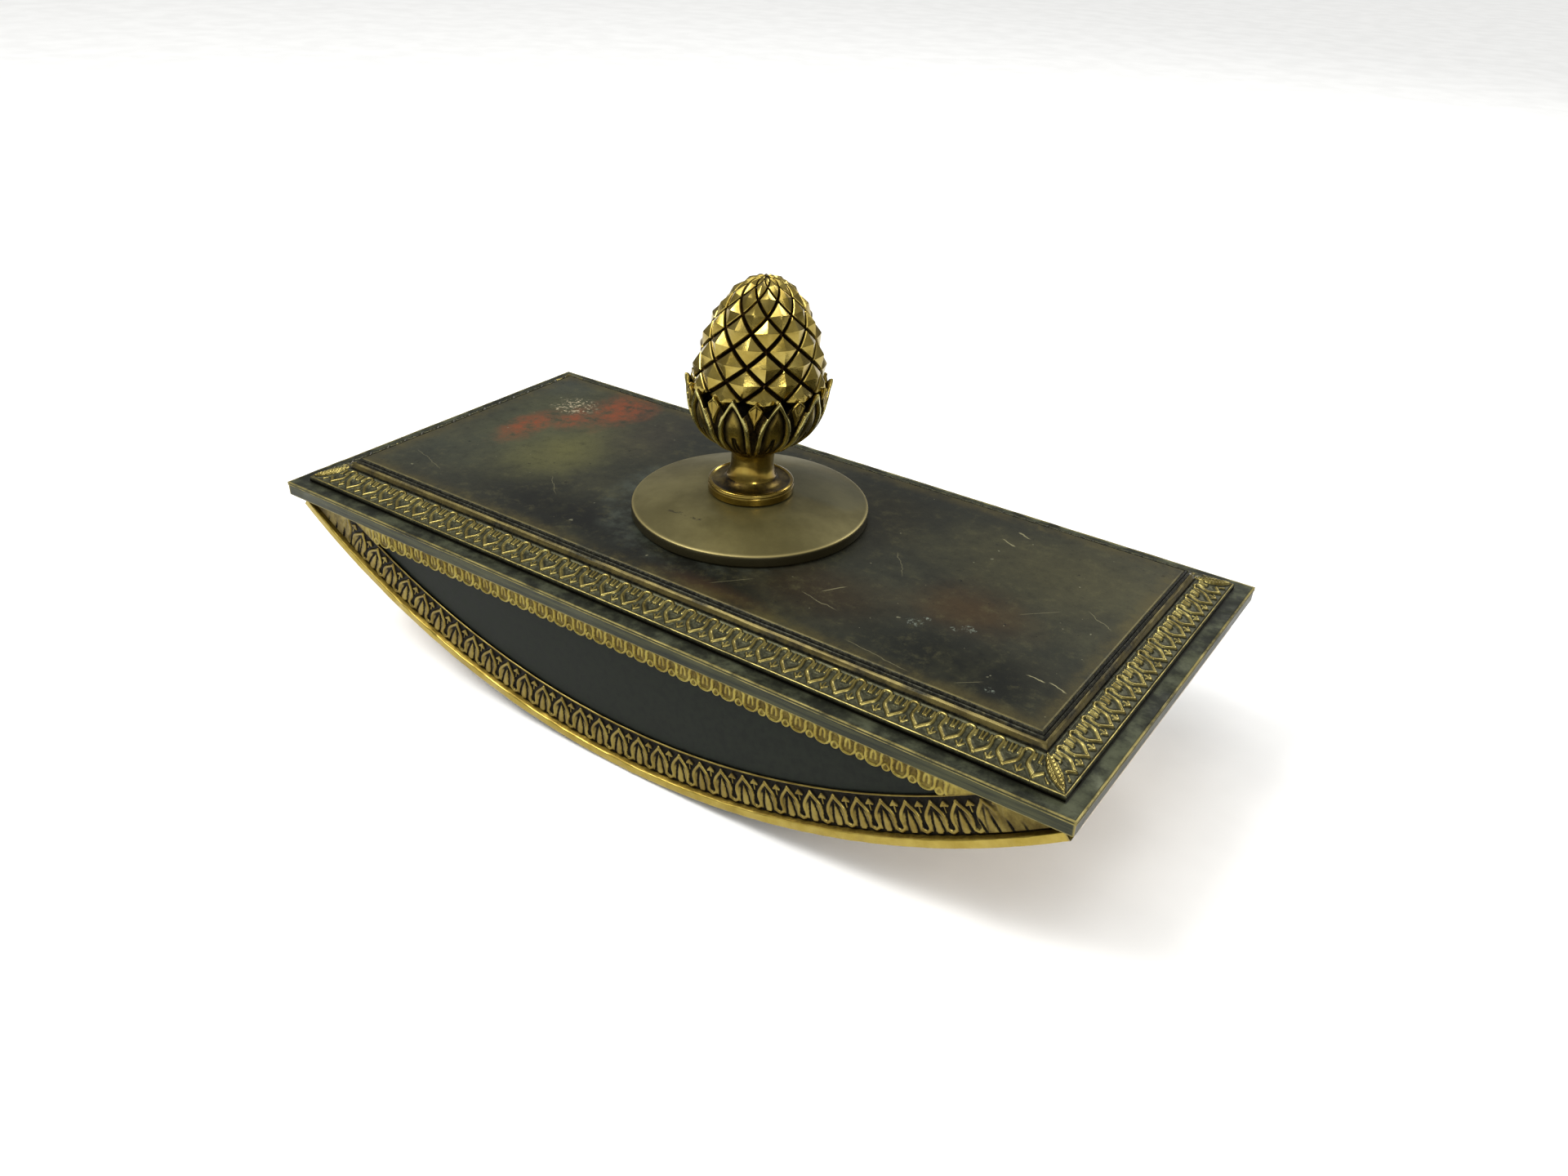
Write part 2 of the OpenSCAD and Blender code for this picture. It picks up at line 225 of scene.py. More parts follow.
def curve(points, steps=6):
    """A smooth line through the points."""
    p = np.array([points[0], *points, points[-1]], float)
    t = np.linspace(0, 1, steps, endpoint=False)[:, None]
    out = []
    for a, b, c, d in zip(p, p[1:], p[2:], p[3:]):
        out.append(0.5 * (2 * b + (c - a) * t + (2 * a - 5 * b + 4 * c - d) * t**2
                          + (3 * b - a - 3 * c + d) * t**3))
    return np.concatenate([*out, p[-1:]])


def distance(x, y, line):
    """Distance from each place to a line of points."""
    best = np.full(np.shape(x), 1e9)
    for (ax, ay), (bx, by) in zip(line, line[1:]):
        dx, dy = bx - ax, by - ay
        t = np.clip(((x - ax) * dx + (y - ay) * dy) / (dx * dx + dy * dy + 1e-12), 0, 1)
        best = np.minimum(best, np.hypot(x - ax - t * dx, y - ay - t * dy))
    return best


def ridge(d, half_width, height):
    """A rounded cord of that half width, seen from the distance to its middle."""
    return height * np.sqrt(np.clip(1 - (d / half_width) ** 2, 0, 1))


def with_cord(h, x, y, line, half_width, height):
    """The relief with a rounded cord along a line of points."""
    return np.maximum(h, ridge(distance(x, y, line), half_width, height))


def bar(d, half_width, height, edge=0.4):
    """A flat-topped band with sloping edges."""
    return height * np.clip((half_width - d) / (edge * half_width), 0, 1)


def smooth(low, high, value):
    t = np.clip((value - low) / (high - low), 0, 1)
    return t * t * (3 - 2 * t)


def fold(x, period):
    """Distance along the strip from the nearest leaf's middle."""
    return np.abs((x + period / 2) % period - period / 2)


def wobble(shape, cells, amount):
    """Soft seeded unevenness of a hand-finished surface, on a grid of points."""
    out = np.zeros(shape)
    for axis_cells, part in ((cells, 1.0), (cells * 3, 0.45)):
        n_u = max(2, int(axis_cells))
        n_v = max(2, int(axis_cells * shape[1] / shape[0]) + 1)
        c = rng.standard_normal((n_u + 1, n_v + 1))
        u = np.linspace(0, n_u - 1e-6, shape[0])
        v = np.linspace(0, n_v - 1e-6, shape[1])
        iu, iv = u.astype(int), v.astype(int)
        fu, fv = smooth(0, 1, u - iu)[:, None], smooth(0, 1, v - iv)[None, :]
        low = c[np.ix_(iu, iv)] * (1 - fu) + c[np.ix_(iu + 1, iv)] * fu
        high = c[np.ix_(iu, iv + 1)] * (1 - fu) + c[np.ix_(iu + 1, iv + 1)] * fu
        out += part * (low * (1 - fv) + high * fv)
    return amount * out


# ---------------------------------------------------------------- ornament

LEAF_PERIOD = 4.70                    # from leaf to leaf in lower_relief
LEAF_STEP = math.radians(1.975)       # the same, seen from the centre of the curve
LEAF_TURN = math.radians(0.41)        # where the first leaf stands
SCALLOP_PERIOD = 4.66
GRID = 0.125                          # between the points of a relief
LONG_SIDE = 2 * (HALF_L - BORDER_IN)
SHORT_SIDE = 2 * (HALF_W - BORDER_IN)
LONG_PERIOD, SHORT_PERIOD = LONG_SIDE / 32, SHORT_SIDE / 14


def border_relief(x, v, period):
    """Tulip leaves that point outwards, small arches between them and darts between their tips.
    x runs along the strip from a leaf's middle, v from the outer edge inwards."""
    half = period / 2
    a = fold(x, period)
    leaf = curve([(0, 0.95), (0.36, 1.38), (0.8, 1.8), (1.25, 2.2), (1.58, 2.6), (1.74, 3.1),
                  (1.72, 3.7), (1.6, 4.2), (1.7, 4.75), (2.0, 5.02), (half, 5.1)])
    to_leaf = distance(a, v, leaf)
    h = ridge(to_leaf, 0.3, 0.42)
    edge = np.interp(v, [0.95, 1.38, 1.8, 2.2, 2.6, 3.1, 3.7, 4.2, 4.75],
                     [0, 0.36, 0.8, 1.25, 1.58, 1.74, 1.72, 1.6, 1.7])
    within = smooth(0.1, 0.7, edge - a) * (v < 4.9)
    h = np.maximum(h, 0.2 * (1 - smooth(0.3, 0.95, to_leaf)) * (a < edge) * (v < 4.7))
    h -= 0.12 * within * smooth(0.6, 1.1, to_leaf)
    h = with_cord(h, a, v, [(0.24, 3.55), (0.34, 4.8)], 0.25, 0.42)
    h = with_cord(h, a, v, [(1.05, 3.7), (1.15, 4.8)], 0.19, 0.3)
    for dart in ([(half, 0.88), (half - 0.68, 1.62)], [(half, 0.9), (half, 2.1)]):
        h = with_cord(h, a, v, dart, 0.2, 0.34)
    h -= 0.1 * smooth(0.75, 0.3, half - a) * smooth(2.6, 3.2, v) * (v < 4.8)
    h = np.maximum(h, ridge(np.abs(v - 0.22), 0.24, 0.24))
    return np.maximum(h, bar(np.abs(v - 5.45), 0.25, 0.10))


def lower_relief(x, v):
    """Pointed leaves that stand on the groove above the rim, joined by loops, with darts between
    their tips and a thin fillet above. v runs from the groove upwards."""
    half = LEAF_PERIOD / 2
    a = fold(x, LEAF_PERIOD)
    shape = [(0, 6.0), (0.22, 5.65), (0.75, 5.05), (1.25, 4.45), (1.6, 3.85), (1.74, 3.2),
             (1.66, 2.6), (1.54, 2.05), (1.66, 1.5), (half, 1.1)]
    edge = np.interp(v, [p[1] for p in shape[::-1]], [p[0] for p in shape[::-1]], right=0)
    to_leaf = distance(a, v, curve(shape))
    inside = (a < edge) * (v > 1.1)
    h = 0.27 * inside * smooth(0.95, 1.25, v)
    h -= 0.14 * inside * smooth(3.4, 5.0, v)
    slot = distance(a, v, [(0.92, 0.9), (0.8, 2.6), (0.36, 4.7)])
    h = np.where(inside, np.minimum(h, 0.3 * smooth(0.1, 0.24, slot)), h)
    tongue = np.interp(v, [0.95, 2.6, 4.4, 5.1], [0.66, 0.52, 0.2, 0.0]) - a
    h = np.maximum(h, 0.38 * smooth(0.0, 0.2, tongue) * smooth(0.8, 1.0, v) - 0.12 * a)
    h = np.maximum(h, ridge(to_leaf, 0.34, 0.46))
    for head in ([(half, 6.0), (half - 0.62, 5.35)], [(half - 0.62, 5.3), (half, 5.45)]):
        h = with_cord(h, a, v, head, 0.2, 0.38)
    h = with_cord(h, a, v, [(half, 6.05), (half, 4.3)], 0.16, 0.34)
    return np.maximum(h, ridge(np.abs(v - 6.98), 0.18, 0.42))


def scallop_edge(x):
    """Height of the upper frieze's lower edge above its lowest line."""
    a = fold(x, SCALLOP_PERIOD)
    half = SCALLOP_PERIOD / 2
    large = 1.75 - np.sqrt(np.clip(1.75**2 - a**2, 0, None))
    small = 0.85 - np.sqrt(np.clip(0.85**2 - (half - a) ** 2, 0, None)) + 0.1
    return np.clip(np.where(a < 1.5, large, small), 0, 0.75)


def upper_relief(x, v):
    """The same leaves cut short by the cover. v runs from the scalloped edge upwards."""
    half = SCALLOP_PERIOD / 2
    a = fold(x, SCALLOP_PERIOD)
    leaf = curve([(0, 0.32), (0.7, 0.46), (1.2, 0.95), (1.42, 1.7), (1.36, 2.4), (1.5, 3.0),
                  (1.9, 3.5), (half, 3.65)])
    h = np.full(np.shape(a), 0.16)
    h -= 0.07 * bar(distance(a, v, [(0.0, 1.3), (0.0, 2.5)]), 0.2, 1.0)
    h -= 0.1 * bar(distance(a, v, [(1.0, 1.3), (0.95, 2.2), (0.8, 2.9)]), 0.16, 1.0)
    h -= 0.1 * bar(distance(a, v, [(1.78, 1.4), (1.76, 2.2), (1.95, 2.7)]), 0.16, 1.0)
    h = with_cord(h, a, v, leaf, 0.26, 0.42)
    lobe = curve([(half, 0.32), (half - 0.4, 0.46), (half - 0.6, 0.85), (half - 0.3, 1.35),
                  (half, 1.6)])
    h = with_cord(h, a, v, lobe, 0.22, 0.36)
    h = with_cord(h, a, v, [(0.42, 1.5), (0.4, 2.4), (0.15, 3.1)], 0.3, 0.26)
    return with_cord(h, a, v, [(half, 4.1), (half, 5.3)], 0.45, 0.24)


def make_border(side, length, period, turn):
    """A straight length of border, turned by that many degrees from the front."""
    reach = (HALF_W if turn in (0, 180) else HALF_L) - BORDER_OUT
    c, s = round(math.cos(math.radians(turn))), round(math.sin(math.radians(turn)))

    def place(x, v, z):
        y = v - reach
        return np.stack([c * x - s * y, s * x + c * y, z], -1)

    n_u, n_v = int(length / GRID) + 1, int(BORDER_W / 0.11) + 1
    x, v = grid(np.linspace(-length / 2, length / 2, n_u), np.linspace(0, BORDER_W, n_v))
    h = border_relief(x + length / 2, v, period)
    slope = BORDER_LOW + (BORDER_HIGH - BORDER_LOW) * v / BORDER_W
    z = slope + h - SUNK + wobble(x.shape, length / 3, 0.012)
    base = place(x[:, [0, -1]], v[:, [0, -1]], np.full((n_u, 2), LEDGE_Z - BED))
    outer = 1.0 if turn < 180 else 0.1               # the outer line is dull at the rear and left
    gild = smooth(0.06, 0.3, h) * (outer + (1 - outer) * smooth(1.7, 2.7, v))
    obj = strip_solid(side + "_border_ornament", place(x, v, LEDGE_Z + z), base, gild)
    finish_piece(obj, "cover", side + "_border", BORDER_METAL)


def corner_relief(ix, iy):
    """The two borders meet under a ribbed leaf on the diagonal of the corner."""
    along = (ix + iy) / math.sqrt(2)                         # from the outer corner inwards
    across = (ix - iy) / math.sqrt(2)
    length = BORDER_W * math.sqrt(2)
    front = border_relief(BORDER_W - ix, iy, LONG_PERIOD)
    side = border_relief(BORDER_W - iy, ix, SHORT_PERIOD)
    h = np.where(iy < ix, front, side)
    t = np.clip((along - 0.35) / (length - 0.5), 0, 1)
    width = np.interp(t, [0, 0.06, 0.2, 0.45, 0.7, 0.88, 1], [0, 0.22, 0.72, 1.16, 1.1, 0.7, 0.3])
    off = np.abs(across)
    leaf = smooth(0, 0.3, width - off)
    ribs = 0.5 + 0.5 * np.cos(2 * np.pi * (along * 1.5 + off * 1.1))
    blade = 0.5 + 0.13 * ribs * smooth(0.1, 0.3, off) - 0.12 * smooth(0.16, 0.04, np.abs(off - 0.62))
    blade -= 0.26 * smooth(0.2, 0.06, np.abs(off - 0.14)) * smooth(0.12, 0.3, t)
    ditch = smooth(0.42, 0.12, np.abs(off - width - 0.16)) * (t > 0.02)
    h = h * (1 - 0.9 * ditch) * (1 - leaf) + leaf * blade
    return np.maximum(h, ridge(np.abs(np.minimum(ix, iy) - 0.22), 0.24, 0.24))


def make_corners():
    n = int(BORDER_W / 0.1) + 1
    ix, iy = grid(np.linspace(0, BORDER_W, n), np.linspace(0, BORDER_W, n))
    h = corner_relief(ix, iy)
    slope = BORDER_LOW + (BORDER_HIGH - BORDER_LOW) * np.minimum(ix, iy) / BORDER_W
    z = LEDGE_Z + slope + h - SUNK
    gild = smooth(0.06, 0.3, h)
    # The side walls of the corner pieces get gild -1, which turns them black: painted shade on the
    # sides.
    black = np.full((n, 1), -1.0)
    gild = np.concatenate([black, gild, black], axis=1).ravel()
    m = n + 2
    points, faces = [], []
    for k, (sx, sy) in enumerate(((-1, -1), (1, -1), (1, 1), (-1, 1))):
        top = np.stack([sx * (HALF_L - BORDER_OUT - ix), sy * (HALF_W - BORDER_OUT - iy), z], -1)
        base = top[:, [0, -1]].copy()
        base[..., 2] = LEDGE_Z - BED
        points.append(np.concatenate([base[:, :1], top, base[:, 1:]], axis=1).reshape(-1, 3))
        for part in tube_faces(n, m):
            faces.append((part if sx * sy > 0 else part[:, ::-1]) + k * n * m)
    obj = build("corner_leaf_ornament", np.concatenate(points), faces, np.tile(gild, 4))
    flip_if_inside_out(obj)
    finish_piece(obj, "cover", "corner_leaves", BORDER_METAL)


def side_points(sign, x, z, out):
    """Points that stand out from the front side face (-1) or mirrored behind (1)."""
    return np.stack([x, sign * (WALL_Y + out), z], -1)


def side_strip(name, node, sign, x, z, out, gild, material):
    """A strip of relief on a side face, from its grid of places and their height."""
    ends = np.s_[:, [0, -1]]
    base = side_points(sign, x[ends], z[ends], np.zeros((len(x), 2)))
    obj = strip_solid(name, side_points(sign, x, z, out), base, gild)
    flip_if_inside_out(obj)
    finish_piece(obj, "rocker", node, material)


def make_lower_frieze(side, sign):
    """The leaves along the curve, which run out into plain gilt triangles near the ends."""
    end = math.atan2(WALL_HALF - 0.1, ARC_Z - PLATE_Z) - 0.0015
    n_u, n_v = int(2 * end * FRIEZE_OUT / GRID), 62
    theta, t = grid(np.linspace(-end, end, n_u), np.linspace(0, 1, n_v))
    low = np.minimum(FRIEZE_OUT, (WALL_HALF - 0.02) / np.maximum(np.abs(np.sin(theta)), 1e-6))
    high = np.maximum(FRIEZE_IN, (ARC_Z - PLATE_Z) / np.cos(theta))
    r = low + (np.minimum(high, low - 0.05) - low) * t
    v = FRIEZE_OUT - r
    x, z = r * np.sin(theta), ARC_Z - r * np.cos(theta)
    h = lower_relief((theta + LEAF_TURN) * LEAF_PERIOD / LEAF_STEP, 0.55 + 0.92 * v)
    fade = smooth(76, 64, np.abs(x))
    plain = 0.30 * smooth(0.1, 0.4, v)
    slots = 0.34 * bar(fold(theta * FRIEZE_OUT + 0.22 * v, 2.35), 0.26, 1.0)
    slots = slots * smooth(81, 73, np.abs(x)) * smooth(4.6, 2.6, v + 0.3 * (np.abs(x) - 68))
    h = h * fade + (plain - slots * (v > 0.7)) * (1 - fade)
    gild = smooth(0.1, 0.36, h) * fade + (1 - fade) * smooth(0.0, 0.3, v) * (0.62 - 2.4 * slots)
    side_strip(side + "_leaf_frieze", side + "_lower_frieze", sign, x, z,
               0.12 + h + wobble(x.shape, 60, 0.012), gild, FRIEZE_METAL)


def make_upper_frieze(side, sign):
    """The scalloped strip under the cover, which is plain near the ends."""
    end = math.sqrt(FRIEZE_IN**2 - (ARC_Z - PLATE_Z) ** 2) - 0.1
    n_u, n_v = int(2 * end / GRID), 44
    x, t = grid(np.linspace(-end, end, n_u), np.linspace(0, 1, n_v))
    edge = PLATE_Z - UP_FRIEZE_H + scallop_edge(x)
    arc = ARC_Z - np.sqrt(FRIEZE_IN**2 - x**2)
    low = np.maximum(edge, arc)
    z = low + (PLATE_Z - low) * t
    h = upper_relief(x, z - (PLATE_Z - UP_FRIEZE_H))
    fade = smooth(68, 58, np.abs(x))
    h = h * fade + 0.22 * (1 - fade)
    side_strip(side + "_scallop_frieze", side + "_upper_frieze", sign, x, z,
               0.35 + h + wobble(x.shape, 60, 0.02), np.maximum(smooth(0.02, 0.34, h), 0.38),
               UPPER_METAL)


def make_rim(side, sign):
    """The gilt band along the curve, slightly crowned and a little uneven from filing."""
    depth = RIM_Y - WALL_Y
    section = rounded([(0, RIM_R), (depth, RIM_R), (depth, RIM_R - 1.55), (depth - 0.25, RIM_R - 1.7),
                       (0.2, FRIEZE_OUT), (0, FRIEZE_OUT)], 0.26, 4)
    end = math.asin(WALL_HALF / RIM_R)
    n_u = 420
    theta = np.linspace(-end, end, n_u)[:, None]
    out = section[None, :, 0] * np.ones((n_u, 1))
    r = section[None, :, 1] * np.ones((n_u, 1))
    dent = wobble(out.shape, 90, 0.025)
    crown = 0.06 * np.sin(np.pi * (RIM_R - r) / RIM_H)
    out = np.where(out > 0.05, out + crown + dent - 0.08, out)
    x = np.clip(r * np.sin(theta), -WALL_HALF, WALL_HALF)
    points = side_points(sign, x, ARC_Z - r * np.cos(theta), out).reshape(-1, 3)
    gild = smooth(-0.03, 0.05, dent) * 0.35 + 0.65
    gild = np.where((r < RIM_R - 1.62) & (out < depth - 0.12), 0.1, gild)
    obj = build(side + "_rim_band", points, tube_faces(n_u, len(section)), gild)
    flip_if_inside_out(obj)
    finish_piece(obj, "rocker", side + "_rim", RIM_METAL)


# ---------------------------------------------------------------- cover plate and moulding

def framed_rings(profile, per_side, jitter):
    """Rectangular rings round the cover, one for each (inset, height) of the profile."""
    corners = [(-1, -1), (1, -1), (1, 1), (-1, 1)]
    rings = []
    for inset, z in profile:
        l, w = HALF_L - inset, HALF_W - inset
        ring = []
        for (ax, ay), (bx, by) in zip(corners, corners[1:] + corners[:1]):
            t = np.linspace(0, 1, per_side, endpoint=False)
            ring.append(np.stack([l * (ax + (bx - ax) * t), w * (ay + (by - ay) * t),
                                  np.full(per_side, z)], -1))
        rings.append(np.concatenate(ring))
    points = np.stack(rings, 1)                       # (round, across, 3)
    noise = wobble(points.shape[:2], 160, 1.0)
    points[..., 2] += noise * np.asarray(jitter)[None, :]
    return points


def subtract(obj, tool):
    """Cuts the tool's solid out of the object."""
    cut = obj.modifiers.new("cut", "BOOLEAN")
    cut.operation = "DIFFERENCE"
    cut.solver = "EXACT"
    cut.object = tool
    apply_modifiers(obj)
    bpy.data.objects.remove(tool)


def round_bar(name, radius, low, high, y=0.0, steps=64):
    obj = lathe(name, [(0, low), (radius, low), (radius, high), (0, high)], steps)
    obj.data.transform(Matrix.Translation((0, y * MM, 0)))
    return obj


def hollow_out(obj):
    """The cavity below the panel, with the hub and pin bosses left standing in it."""
    half_l, half_w = (half - PANEL_IN - CAVITY_MARGIN for half in (HALF_L, HALF_W))
    low, roof = PLATE_Z - 1, PANEL_Z - CAVITY_ROOF
    p = [(sx * half_l, sy * half_w, z) for z in (low, roof)
         for sx, sy in ((-1, -1), (1, -1), (1, 1), (-1, 1))]
    box = build("cavity", p, [np.array([[0, 3, 2, 1], [4, 5, 6, 7], [0, 1, 5, 4], [1, 2, 6, 5],
                                        [2, 3, 7, 6], [3, 0, 4, 7]])], soft=False)
    subtract(box, round_bar("hub", HUB_R, low - 1, roof + 1, steps=96))
    for sy in (-1, 1):
        subtract(box, round_bar("boss", BOSS_R, low - 1, roof + 1, y=sy * PIN_Y))
    subtract(obj, box)
    pin_top = span("locating_pins", 2)[1]
    subtract(obj, round_bar("stud_hole", STUD_HOLE_R, low - 2, PANEL_Z + 2))
    for sy in (-1, 1):
        subtract(obj, round_bar("pin_hole", PIN_HOLE_R, low - 2, pin_top, y=sy * PIN_Y))


def make_cover():
    profile = rounded([
        (PANEL_IN + 8, PLATE_Z), (0.16, PLATE_Z), (0.12, LEDGE_Z - 0.66), (0.0, LEDGE_Z - 0.6),
        (0.0, LEDGE_Z - 0.48), (0.09, LEDGE_Z - 0.4), (0.09, LEDGE_Z - 0.26), (0.0, LEDGE_Z - 0.18),
        (0.04, LEDGE_Z - 0.02), (0.35, LEDGE_Z - 0.02), (0.5, LEDGE_Z - 0.1),
        (BORDER_OUT - 0.1, LEDGE_Z - 0.1), (BORDER_OUT + 1, LEDGE_Z - 0.1),
        (PANEL_IN - 0.2, LEDGE_Z - 0.1), (PANEL_IN + 0.1, PANEL_Z - 0.12),
        (PANEL_IN + 0.35, PANEL_Z), (PANEL_IN + 8, PANEL_Z)], 0.07, 3)
    jitter = np.where((profile[:, 1] > PLATE_Z + 1) & (profile[:, 0] < 1), 0.02, 0.0)
    points = framed_rings(profile, 90, jitter)
    n_u, n_v = points.shape[:2]
    flat = points.reshape(-1, 3)
    caps = [(np.arange(n_u) * n_v)[None, :], (np.arange(n_u) * n_v + n_v - 1)[None, ::-1]]
    obj = build("cover_casting", flat, [grid_quads(n_u, n_v, close_u=True), *caps],
                np.zeros(len(flat)))
    flip_if_inside_out(obj)
    hollow_out(obj)
    sharpen(obj, 32)
    finish_piece(obj, "cover", "cover_plate", PLATE_METAL)


def make_moulding():
    """A gilt ovolo, a dull torus and a dark quirk between the border and the panel."""
    i, z = BORDER_IN, LEDGE_Z
    profile = rounded([
        (i, z), (i, z + 2.28), (i + 0.14, z + 2.3), (i + 0.2, z + 2.75), (i + 0.55, z + 3.35),
        (i + 0.95, z + 3.62), (i + 1.02, z + 3.5), (i + 1.12, z + 3.95), (i + 1.32, z + 4.1),
        (i + 1.45, z + 3.85), (i + 1.55, z + 4.3), (PANEL_IN - 0.06, z + 4.5),
        (PANEL_IN + 0.06, z + 4.45), (PANEL_IN + 0.06, z)], 0.09, 3)
    bright = np.interp(profile[:, 0] - i, [0.14, 0.25, 0.9, 1.0, 1.5, 1.62],
                       [0.05, 0.9, 0.9, 0.35, 0.15, 0.25])
    jitter = np.where(profile[:, 1] > z + 1, 0.015, 0.0)
    points = framed_rings(profile, 90, jitter)
    n_u, n_v = points.shape[:2]
    gild = bright[None, :] * (1 + wobble((n_u, n_v), 60, 0.25))
    obj = build("panel_moulding_ring", points.reshape(-1, 3),
                [grid_quads(n_u, n_v, close_u=True, close_v=True)], np.clip(gild, 0, 1))
    flip_if_inside_out(obj)
    finish_piece(obj, "cover", "panel_moulding", MOULDING_METAL)


def turned_ring(name, outline, gild):
    """A turned piece with a bore, from its closed outline and the gilding at the outline's points."""
    points = lean(turned(outline, TURN_STEPS).reshape(-1, 3))
    faces = [grid_quads(TURN_STEPS, len(outline), close_u=True, close_v=True)]
    return build(name, points, faces, np.tile(gild, TURN_STEPS))


def make_collar():
    z, r = PANEL_Z, COLLAR_R
    crown = COLLAR_Z - z
    dome = [(r - 0.5 - t * (r - 0.5 - FOOT_R), z + 2.42 + (crown - 2.42) * math.sin(math.pi / 2 * t))
            for t in np.linspace(0, 1, 14)]
    edge = rounded([(3.0, z), (r - 0.35, z), (r - 0.3, z + 0.28), (r, z + 0.36), (r, z + 1.95),
                    (r - 0.12, z + 2.25), dome[0], dome[1]], 0.14, 4)
    hub = [(FOOT_R - 0.5, COLLAR_Z), (3.0, COLLAR_Z)]
    outline = np.concatenate([edge[:-1], np.array(dome[1:]), np.array(hub)])
    # The gild on the lip paints it bright: a painted highlight.
    lip = np.interp(outline[:, 0], [r - 1.2, r - 0.45, r - 0.2, r], [0.1, 0.5, 1.0, 0.1])
    obj = turned_ring("collar", outline, lip * (outline[:, 1] > z + 1.9))
    flip_if_inside_out(obj)
    finish_piece(obj, "cover", "collar_disc", COLLAR_METAL)


# ---------------------------------------------------------------- finial

def lean(points):
    """The finial stands a little crooked on its foot. What is below the foot's top stays."""
    points = np.array(points, float)
    rise = np.clip(points[:, 2] - COLLAR_Z - 2, 0, None)
    points[:, 0] += LEAN[0] * rise
    points[:, 1] += LEAN[1] * rise
    return points


def make_stem():
    z, r = COLLAR_Z, FOOT_R
    foot = rounded([(BORE_R, z), (r - 0.4, z), (r - 0.4, z + 0.22), (r, z + 0.26), (r, z + 1.5),
                    (r - 0.12, z + 1.66), (r - 0.02, z + 1.82), (r - 0.12, z + 2.3),
                    (r - 0.55, z + 2.5), (r - 0.95, z + 2.2), (r - 1.5, z + 2.1)], 0.13, 5)
    cove = curve([(r - 1.5, z + 2.1), (5.6, z + 2.3), (4.65, z + 3.1), (4.2, z + 4.4),
                  (4.0, z + 5.6), (3.98, z + 6.6), (4.02, z + 7.4), (4.2, STEM_TOP)], 5)
    profile = np.concatenate([foot[:-1], cove, [[BORE_R, STEM_TOP]]])
    height = profile[:, 1] - z
    # Gild -1 at the bottom of the foot paints it black: painted shade in the gap under the foot. Gild
    # 1.1 at the top of the lip paints it pale: a painted highlight.
    gild = np.interp(height, [0, 0.2, 0.24, 1.55, 1.66, 1.8, 2.5, 3.4, 6.5, 7.8],
                     [-1, -1, 0.95, 1.0, 0.35, 1.1, 1.0, 0.85, 0.8, 0.7])
    dish = (profile[:, 0] > 4.5) & (profile[:, 0] < r - 0.8) & (height > 2.0) & (height < 3.3)
    obj = turned_ring("finial_foot_and_stem", profile, np.where(dish, 0.42, gild))
    flip_if_inside_out(obj)
    sharpen(obj, 40)
    finish_piece(obj, "finial", "finial_stem", FOOT_METAL)


def calyx_relief(x, z, sector):
    """Height of the leaves, and how far a place is inside the blade (below 0 on its border). x is
    the distance from the main leaf's middle round the cup, z the height above the collar's seat,
    sector the half width of one leaf's share."""
    a = np.abs(x)
    width = sector * np.interp(z, [8.5, 10, 12, 14, 15.5, 17, 18.5, 19.8, 21, 22.4],
                               [0.94, 0.9, 0.87, 0.84, 0.8, 0.73, 0.61, 0.45, 0.25, 0.03])
    inside = width - a
    h = 0.5 * smooth(-0.1, 0.12, inside) + 0.24 * ridge(np.abs(inside - 0.42), 0.5, 1.0)
    h -= 0.7 * smooth(0.74, 0.92, inside)
    h += 0.42 * smooth(1.0, 1.3, inside) + 0.16 * smooth(1.3, 2.3, inside)
    flute = distance(a, z, [(0.34, 8.6), (0.4, 11.5), (0.14, 14.6)])
    h -= 0.5 * ridge(flute, 0.26, 1.0)
    b = sector - a
    wings = np.interp(z, [17.0, 18.4, 20.2, 20.9, 21.5, 22.1], [0.0, 0.5, 1.3, 1.5, 0.7, 0.05])
    small = wings - b
    leaf = 0.42 * smooth(-0.05, 0.25, small) + 0.16 * smooth(0.3, 0.0, b) * (small > 0)
    leaf += 0.12 * smooth(0.6, 0.35, np.abs(small - 0.1)) * (small > 0)
    blade = smooth(0.7, 0.9, inside) - 2.4 * bar(np.abs(inside - 0.4), 0.44, 1.0)
    return np.maximum(h, leaf) - 0.6, blade


